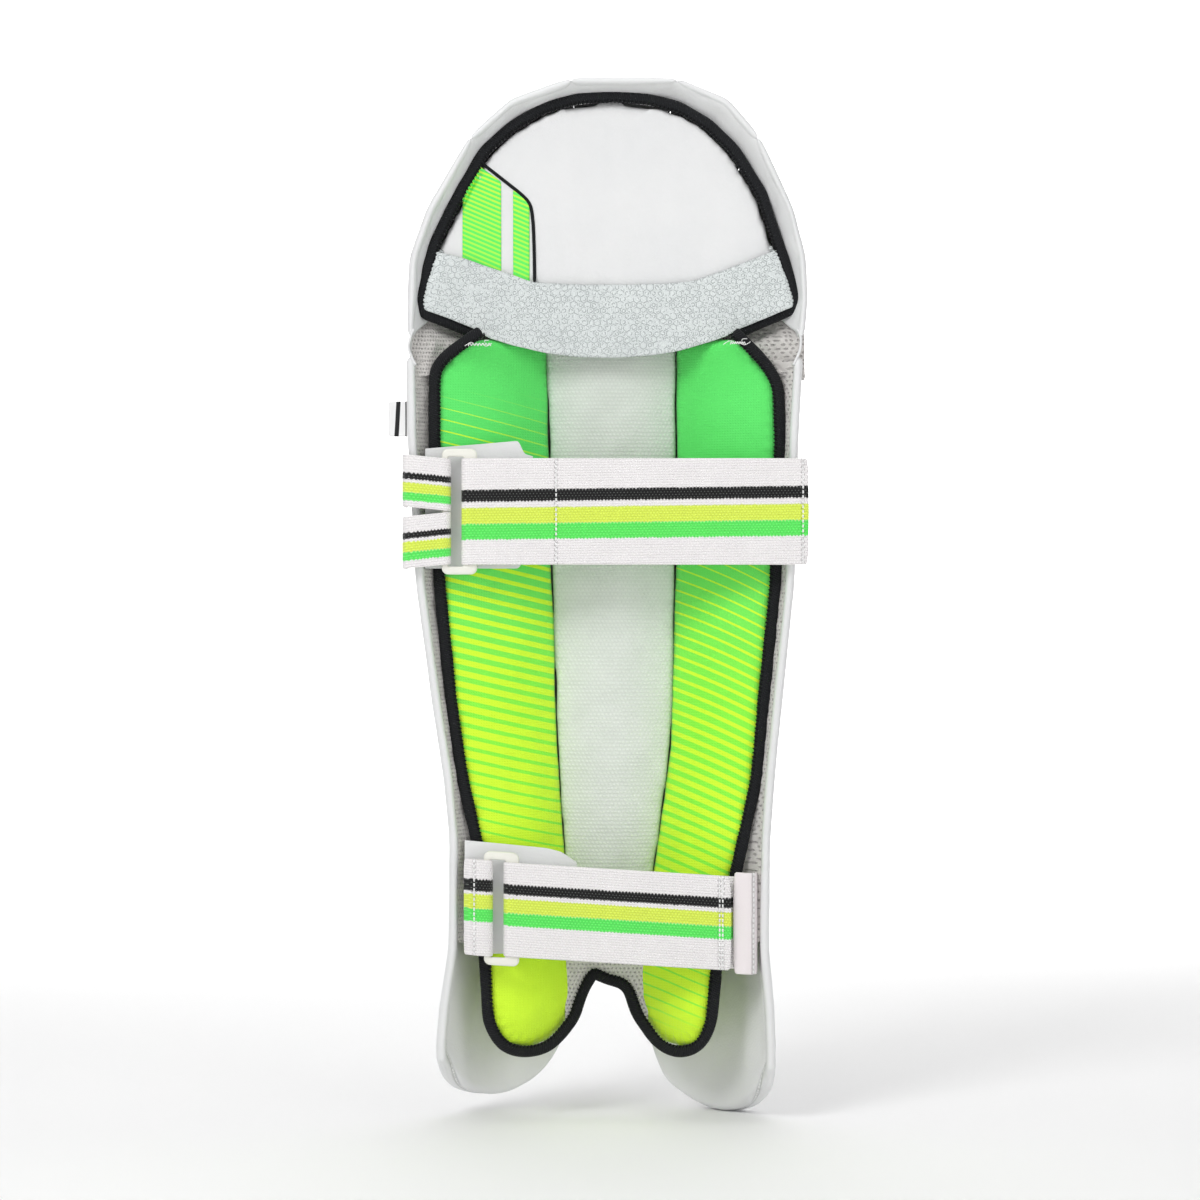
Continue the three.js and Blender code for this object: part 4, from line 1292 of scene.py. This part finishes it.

# ---------------------------------------------------------------- the waist

def waist_fold():
    """The soft skin round the outside that joins the shin to the knee section."""
    def place(z, p):
        t = (z - SHIN_TOP + 5) / (KNEE_BOTTOM - SHIN_TOP + 10)
        return shell_point(p, z, 3.5 + 2.2 * abs(2 * t - 1) ** 2 - 1.5 * math.sin(math.pi * t))

    rows = grid(np.linspace(SHIN_TOP - 5, KNEE_BOTTOM + 5, 15), np.linspace(-0.997, 0.997, 120), place)
    obj = tag(rows_mesh("waist_fold_skin", rows))
    displace(obj, lambda p, i: 0.8 * ripple(p, 9, 6.1) * math.sin(math.pi * clamp((p[2] - 500) / 24)))
    thicken(obj, 1.6)
    dress(obj, PU_PLAIN, None, "white_pu", "knee_front_fold")
    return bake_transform(obj, "shin", "knee", start=metres((0, 20, SHIN_TOP)), end=metres((0, 20, KNEE_BOTTOM)))


def waist_gusset(word, side):
    """Knitted gusset that shows in the V between the flap's binding and the liner's."""
    def place(t, s):
        swell = 2.5 * math.sin(math.pi * t) + 2 * math.sin(5 * s + 3 * t) + 14 * ease((t - 0.45) / 0.5)
        height = mix(mix(490, 507, s), 540 - 16 * ease(s), t)
        return side * mix(130.5, 78, s), mix(5, 20.5, ease(s * 1.6)) + swell, height

    obj = tag(rows_mesh(f"{word}_waist_gusset", grid(np.linspace(0, 1, 16), np.linspace(0, 1, 22), place)))
    displace(obj, ripples((1.1, 8, side * 3.0), (0.6, 3, 2)))
    mark_rest(obj)
    thicken(obj, 1.2)
    dress(obj, NET, None, "lining_mesh", f"{word}_knee_gusset")
    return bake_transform(obj, "shin", "knee", start=metres((0, 20, SHIN_TOP)),
                    end=metres((0, 20, KNEE_BOTTOM + 10)))


waist_fold()
waist_gusset("left", -1)
waist_gusset("right", 1)


def bar_tack(name, centre, width, node):
    """Thread wound to and fro at a waist, with a few loose ends."""
    x, d, z = centre
    verts, faces = [], []

    def strand(line, step, passes, radius):
        points, rings = smooth_line(line, step, passes), []
        for i, p in enumerate(points):
            ahead = heading(points, i)
            side = unit(np.cross(ahead, [0, 1, 0]))
            rings.append((p, side, np.cross(side, ahead), radius))
        add_tube(verts, faces, rings)

    strand([(x - width / 2 + width * i / 14, d + 0.5 * (i % 2),
             z + (1.3 if i % 2 else -1.3)) for i in range(15)],
           0.8, 1, 0.38)
    for (ax, az), (bx, bz), (cx, cz) in (((-0.5, 0.5), (-9, 2.5), (-14, -2)), ((0.3, 0), (7, -3), (12, 1)),
                                         ((0.5, 1), (4, 4), (9, 3.5))):
        strand([(x + ax * width / 2, d, z + az), (x + bx * 0.6, d - 2, z + bz * 0.7),
                (x + cx * 0.7, d - 1.5, z + cz * 0.7)], 1.0, 4, 0.28)
    return dress(tag(make(name, verts, faces, 1, 0)), WHITE_THREAD, "shin", "thread", node)


bar_tack("left_bar_tack", (-84, -1.5, 513.5), 15, "left_waist_tack")
bar_tack("right_bar_tack", (86, -1.5, 514.5), 10, "right_waist_tack")

# ---------------------------------------------------------------- straps

def ring_piece(name, left_bar, slot_height, middle, slope, node, body):
    """A moulded ring with rounded edges: two bars and the slot that the webbing turns through."""
    left, slot_left = left_bar - 2, left_bar + 2
    slot_right, right = left_bar + 12.6, left_bar + 21.6
    half, rim = slot_height / 2, 5.5

    def rounded(x0, x1, z0, z1, r, count=6):
        points = []
        for cx, cz, a0 in ((x1 - r, z1 - r, 0), (x0 + r, z1 - r, 90), (x0 + r, z0 + r, 180),
                           (x1 - r, z0 + r, 270)):
            for i in range(count + 1):
                a = math.radians(a0 + 90 * i / count)
                points.append((cx + r * math.cos(a), cz + r * math.sin(a)))
        return points

    outer = np.array(rounded(left, right, -half - rim, half + rim, 4.5))
    inner = np.array(rounded(slot_left, slot_right, -half, half, 1.5))
    rows = []
    for k in range(16):
        a = 2 * math.pi * k / 16
        c, s = math.cos(a), math.sin(a)
        share = 0.5 + 0.5 * math.copysign(abs(c) ** 0.6, c)
        d = RING_DEPTH + 1.9 * math.copysign(abs(s) ** 0.6, s)
        rows.append([np.array([x, d, middle + z + slope * x]) for x, z in mix(inner, outer, share)])
    rows.append(rows[0])
    obj = tag(rows_mesh(name, rows, closed=True))
    return dress(obj, plastic(name + "_plastic", (240, 239, 230)), body, "ring_plastic", node)


def tape(name, line, bottom, top, slope, look, body, nodes, thickness=WEBBING, rough=0.5, step=2.5):
    """A length of webbing: a thick strip along a line of [x, depth] points, between two heights."""
    heights = [0, 0.006, 0.02, *np.linspace(0.05, 0.95, 15), 0.98, 0.994, 1]
    section = list(zip(heights, [0.25, 0.75, 1] + [1] * 15 + [1, 0.75, 0.25]))
    points = smooth_line(line, step, 2)
    rows = []
    for i, (x, d) in enumerate(points):
        ahead = heading(points, i)
        row = []
        for face, part in ((1, section), (-1, section[::-1])):
            for h, flat in part:
                z = mix(bottom, top, h)
                q = np.array([x, d]) + np.array([-ahead[1], ahead[0]]) * face * thickness / 2 * flat
                row.append(np.array([q[0], q[1] + rough * ripple((q[0], 0, z), 26, 2.2), z + slope * x]))
        rows.append(row)
    obj = tag(rows_mesh(name, rows, closed=True, capped=True, merge=0))
    return dress(obj, look, body, "striped_webbing", *nodes)


def turn_line(bar, side, steps=10):
    """The webbing's half turn round a ring's bar, as [x, depth] points."""
    angles = [math.radians(-90 + 180 * i / steps) for i in range(steps + 1)]
    return [(bar + side * TURN_RADIUS * math.cos(a), RING_DEPTH + TURN_RADIUS * math.sin(a)) for a in angles]


BLACK_INK, YELLOW_INK, GREEN_INK = (24, 24, 25), (234, 255, 92), (100, 250, 104)
STRIPE_SLOPE = 0.0125  # how far the stripes of the calf strap climb to the right


def hook_tape(name, x0, x1, depth, bottom, top, slope, body, node, tint):
    """A strip of hook or loop pile behind a strap, a little thinner at its two long edges."""
    leg = [(bottom, -0.7), (bottom + 1, -0.8), *((mix(bottom, top, h), -0.8) for h in (0.25, 0.5, 0.75)),
           (top - 1, -0.8), (top, -0.7)]
    front = [(top, 0.7), (top - 1, 0.7), *((mix(bottom, top, h), 0.7) for h in (0.75, 0.5, 0.25)),
             (bottom + 1, 0.7), (bottom, 0.7)]

    def place(x, corner):
        return x, depth + corner[1], corner[0] + slope * x

    rows = grid(np.linspace(x0, x1, 40), leg + front, place)
    obj = tag(rows_mesh(name, rows, closed=True, capped=True, merge=0))
    return dress(obj, fuzzy(name + "_pile", tint), body, "hook_and_loop", node)


def strap(name, left_bar, middle, width, slope, base_end, tail_end, loop, hook, stripes, seams):
    bottom, top = middle - width / 2, middle + width / 2
    turn_x = left_bar + 14.4
    ring_piece(f"{name}_ring_moulding", left_bar, width + 2, middle, slope, f"{name}_ring", f"{name}_ring")
    look = webbing(f"{name}_webbing", stripes, middle, slope or STRIPE_SLOPE, seams)
    back = turn_line(turn_x, -1)
    line = [(turn_x + 7, BACK_LAYER)] + back[::-1] + [(turn_x + 4, FRONT_LAYER), (tail_end, FRONT_LAYER)]
    tail = tape(f"{name}_strap_face", line, bottom, top, slope, look, None,
                [f"{name}_strap_turn", f"{name}_strap_tail"])
    metres((turn_x + 0.5, 0, 0))
    metres((turn_x + 12, 0, 0))
    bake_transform(tail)
    base = tape(f"{name}_strap_back", [(turn_x + 7.5, BACK_LAYER + 0.2)] + base_end,
                bottom + 0.6, top - 0.6, slope, look, None, [f"{name}_strap_base"])
    metres((turn_x + 70, 0, 0))
    metres((turn_x + 8, 0, 0))
    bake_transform(base)
    hook_tape(f"{name}_hook_pile", *hook, FRONT_LAYER + WEBBING / 2 + 1.2, bottom + 4, top - 4, slope,
              f"{name}_tail", f"{name}_hook_tape", (206, 206, 205))
    hook_tape(f"{name}_loop_pile", *loop, BACK_LAYER - WEBBING / 2 - 1.2, bottom + 3, top - 3, slope,
              "shin", f"{name}_loop_tape", (236, 236, 235))


CALF_BAR, CALF_MIDDLE = -106.8, 403.3  # the ring's left bar, and the strap's middle height at x = 0
ANKLE_BAR, ANKLE_SLOPE, ANKLE_HALF = -79.2, -0.062, 31.5
ANKLE_MIDDLE = 142 + ANKLE_SLOPE * 64

calf_stripes = [(7.4, 15.2, BLACK_INK), (-7.2, 3.4, YELLOW_INK), (-17.5, -7.2, GREEN_INK)]
strap("calf", CALF_BAR, CALF_MIDDLE, 70, 0, [(122.5, BACK_LAYER), (127.3, 0.6), (128.6, 5), (128.6, 32)],
      132.4, (-60, 116), (-32, 128), calf_stripes, (-33.5, 128.5))
ankle_stripes = [(10.0, 16.6, BLACK_INK), (-2.2, 7.2, YELLOW_INK), (-10.6, -2.2, GREEN_INK)]
strap("ankle", ANKLE_BAR, ANKLE_MIDDLE, 62, ANKLE_SLOPE, [(91, BACK_LAYER)], 81.6, (-40, 78), (-20, 76),
      ankle_stripes, (73.8, 75.8))


def calf_anchors():
    """The two narrow webbing tails that splay from the calf ring round the left wing."""
    line = [(-133.4, 26), (-134.3, 6), (-134, -1.5), (-131.6, -6.4), (-125.5, FRONT_LAYER)]
    line += turn_line(CALF_BAR, 1) + [(-124, BACK_LAYER)]
    rows = {"lower": (-1, 368.3, 402.7, (-15.5, -11.5), (-24.3, -17.6), (-29.7, -24.3)),
            "upper": (1, 403.9, 438.3, (19, 23.2), (10.3, 16.8), (5, 10.3))}
    for word, (side, bottom, top, *bands) in rows.items():
        slope = -side * 0.1
        shift = side * 0.1 * CALF_BAR
        stripes = [(*band, ink) for band, ink in zip(bands, (BLACK_INK, YELLOW_INK, GREEN_INK))]
        look = webbing(f"calf_anchor_{word}_webbing", stripes, CALF_MIDDLE + shift, slope, (), 0.4)
        tape(f"calf_anchor_{word}_tape", line, bottom + shift, top + shift, slope, look, "shin",
             [f"calf_anchor_{word}"], rough=0.3, step=1.2)


def ankle_anchor():
    line = [(-94, -3.6), (-91, -6.2), (-86.5, FRONT_LAYER)]
    line += turn_line(ANKLE_BAR, 1) + [(-94.5, BACK_LAYER + 0.8)]
    stripes = [(13.4, 21.4, BLACK_INK), (2, 11.5, YELLOW_INK), (-6.4, 2, GREEN_INK)]
    look = webbing("ankle_anchor_webbing", stripes, ANKLE_MIDDLE - 2.6, ANKLE_SLOPE, (-87.3,), 0.4)
    tape("ankle_anchor_tape", line, ANKLE_MIDDLE - ANKLE_HALF, ANKLE_MIDDLE + ANKLE_HALF, ANKLE_SLOPE, look,
         "shin", ["ankle_anchor"], rough=0.3, step=1.2)


def patch(name, outline, node):
    """A PU patch lying over the liner: top and bottom edges given as [x, top, bottom]."""
    table = np.array(outline, float)
    left, right = table[0, 0], table[-1, 0]

    def place(s, t):
        x = mix(left, right, s)
        return x, 3.5 + 1.2 * math.sin((x - left) / 24) * t, mix(column(table, x, 2), column(table, x, 1), t)

    rows = grid(spread(24, 0.05), spread(14, 0.05), place)
    obj = tag(rows_mesh(name, rows), [r[-1] for r in rows], rows[-1])
    displace(obj, ripples((0.6, 20, 1.1)))
    thicken(obj, 1.5)
    return dress(obj, PU_PLAIN, "shin", "white_pu", node)


def ankle_tab():
    """The PU tab sewn over the ankle strap's fixed end."""
    line = [(82.5, -3.4), (90, -3.6), (95.5, -2.8), (98, 0.5), (98.4, 4), (98.4, 14)]
    half = ANKLE_HALF + 2
    obj = tape("ankle_end_tab", line, ANKLE_MIDDLE - half, ANKLE_MIDDLE + half, ANKLE_SLOPE, PU_BLUSH, "shin",
               ["ankle_strap_tab"], thickness=1.8, rough=0.6)
    points = rest_points(obj)
    put(obj, "edge", points[:, 0] - 93.4)
    put(obj, "run", points[:, 2])


def side_tab():
    """The plain label tab that stands out from the left edge."""
    def place(t, s):
        return mix(-144.2, -131.5, s), 6 + 1.5 * math.sin(3 * s) + 0.6 * math.sin(5 * t), mix(453.2, 476.4, t)

    obj = tag(rows_mesh("side_tab_label", grid(np.linspace(0, 1, 14), np.linspace(0, 1, 10), place)))
    thicken(obj, 0.9)
    return dress(obj, label_look("side_tab_weave"), "shin", "label", "side_label")


calf_anchors()
ankle_anchor()
patch("calf_ring_patch", [(-120, 445, 366), (-57, 450.3, 366), (-56.4, 442, 372), (-49, 440, 372)],
      "calf_anchor_patch")
patch("ankle_ring_patch", [(-94, 186.8, 112), (-40, 181.5, 112), (-30, 179, 112), (-20, 172, 112)],
      "ankle_anchor_patch")
ankle_tab()
side_tab()

# ---------------------------------------------------------------- CAD parts that stay, and the studio

for node, look in (("shin_backing_board", plain("backing_board_look", (120, 120, 118), 0.7)),
                   ("knee_foam_core", plain("knee_foam_look", (214, 206, 184), 0.95, 2.0, 0.4))):
    for held in bpy.data.objects:
        if held.name == node or held.name.startswith(node + "."):
            for material_slot in held.material_slots:
                material_slot.material = look


FLOOR_REACH, WALL, WALL_HEIGHT, BEND = 25, 4.7, 3.0, 0.5  # metres


def studio():
    """A white paper floor that bends up into a wall, a dim world and five area lights."""
    start, across = WALL - BEND, np.linspace(-FLOOR_REACH, FLOOR_REACH, 9)
    profile = [(y, 0.0) for y in np.linspace(-FLOOR_REACH, start, 24)]
    profile += [(y, BEND - math.sqrt(max(0, BEND ** 2 - (y - start) ** 2)))
                for y in (4.35, 4.5, 4.6, 4.66, WALL)]
    profile.append((WALL, WALL_HEIGHT))
    verts = [(x, y, z) for y, z in profile for x in across]
    n = len(across)
    faces = [(n * j + i, n * j + i + 1, n * j + i + n + 1, n * j + i + n)
             for j in range(len(profile) - 1) for i in range(n - 1)]
    mesh = bpy.data.meshes.new("studio_floor")
    mesh.from_pydata(verts, [], faces)
    floor = bpy.data.objects.new("studio_floor", mesh)
    bpy.context.scene.collection.objects.link(floor)
    mesh.shade_smooth()
    pale = bpy.data.materials.new("studio_paper")
    pale.use_nodes = True
    bsdf = pale.node_tree.nodes["Principled BSDF"]
    bsdf.inputs["Base Color"].default_value = (0.93, 0.93, 0.93, 1)
    bsdf.inputs["Roughness"].default_value = 0.9
    mesh.materials.append(pale)

    world = bpy.data.worlds.new("studio_world")
    world.use_nodes = True
    world.node_tree.nodes["Background"].inputs["Color"].default_value = (1, 1, 1, 1)
    world.node_tree.nodes["Background"].inputs["Strength"].default_value = 0.42
    bpy.context.scene.world = world

    def area(name, place, target, size, power):
        light = bpy.data.lights.new(name, "AREA")
        light.shape, light.size, light.size_y, light.energy = "RECTANGLE", size[0], size[1], power
        obj = bpy.data.objects.new(name, light)
        obj.location = place
        obj.rotation_euler = (Vector(target) - Vector(place)).to_track_quat("-Z", "Y").to_euler()
        bpy.context.scene.collection.objects.link(obj)

    area("key_light", (-1.1, -1.6, 1.7), (0, 0, 0.35), (0.8, 0.8), 21)
    area("fill_light", (1.5, -1.5, 0.9), (0, 0, 0.35), (1.2, 1.4), 7)
    area("low_light", (0.2, -2.1, 0.2), (0, 0, 0.12), (1.6, 0.5), 5)
    area("top_light", (0.1, -0.1, 2.2), (0, 0, 0.4), (1.4, 1.0), 8)
    area("paper_light", (0, 2.9, 3.0), (0, 4.7, 1.2), (5, 1), 250)


studio()
bpy.context.scene.view_settings.view_transform = "Standard"

camera_data = bpy.data.cameras.new("camera")
camera_data.lens, camera_data.sensor_width = 100, 36
camera = bpy.data.objects.new("camera", camera_data)
camera.location = (0.0008, -2.19 - 0.054, 0.345)
camera.rotation_euler = (math.pi / 2, 0, 0)
bpy.context.scene.collection.objects.link(camera)
bpy.context.scene.camera = camera
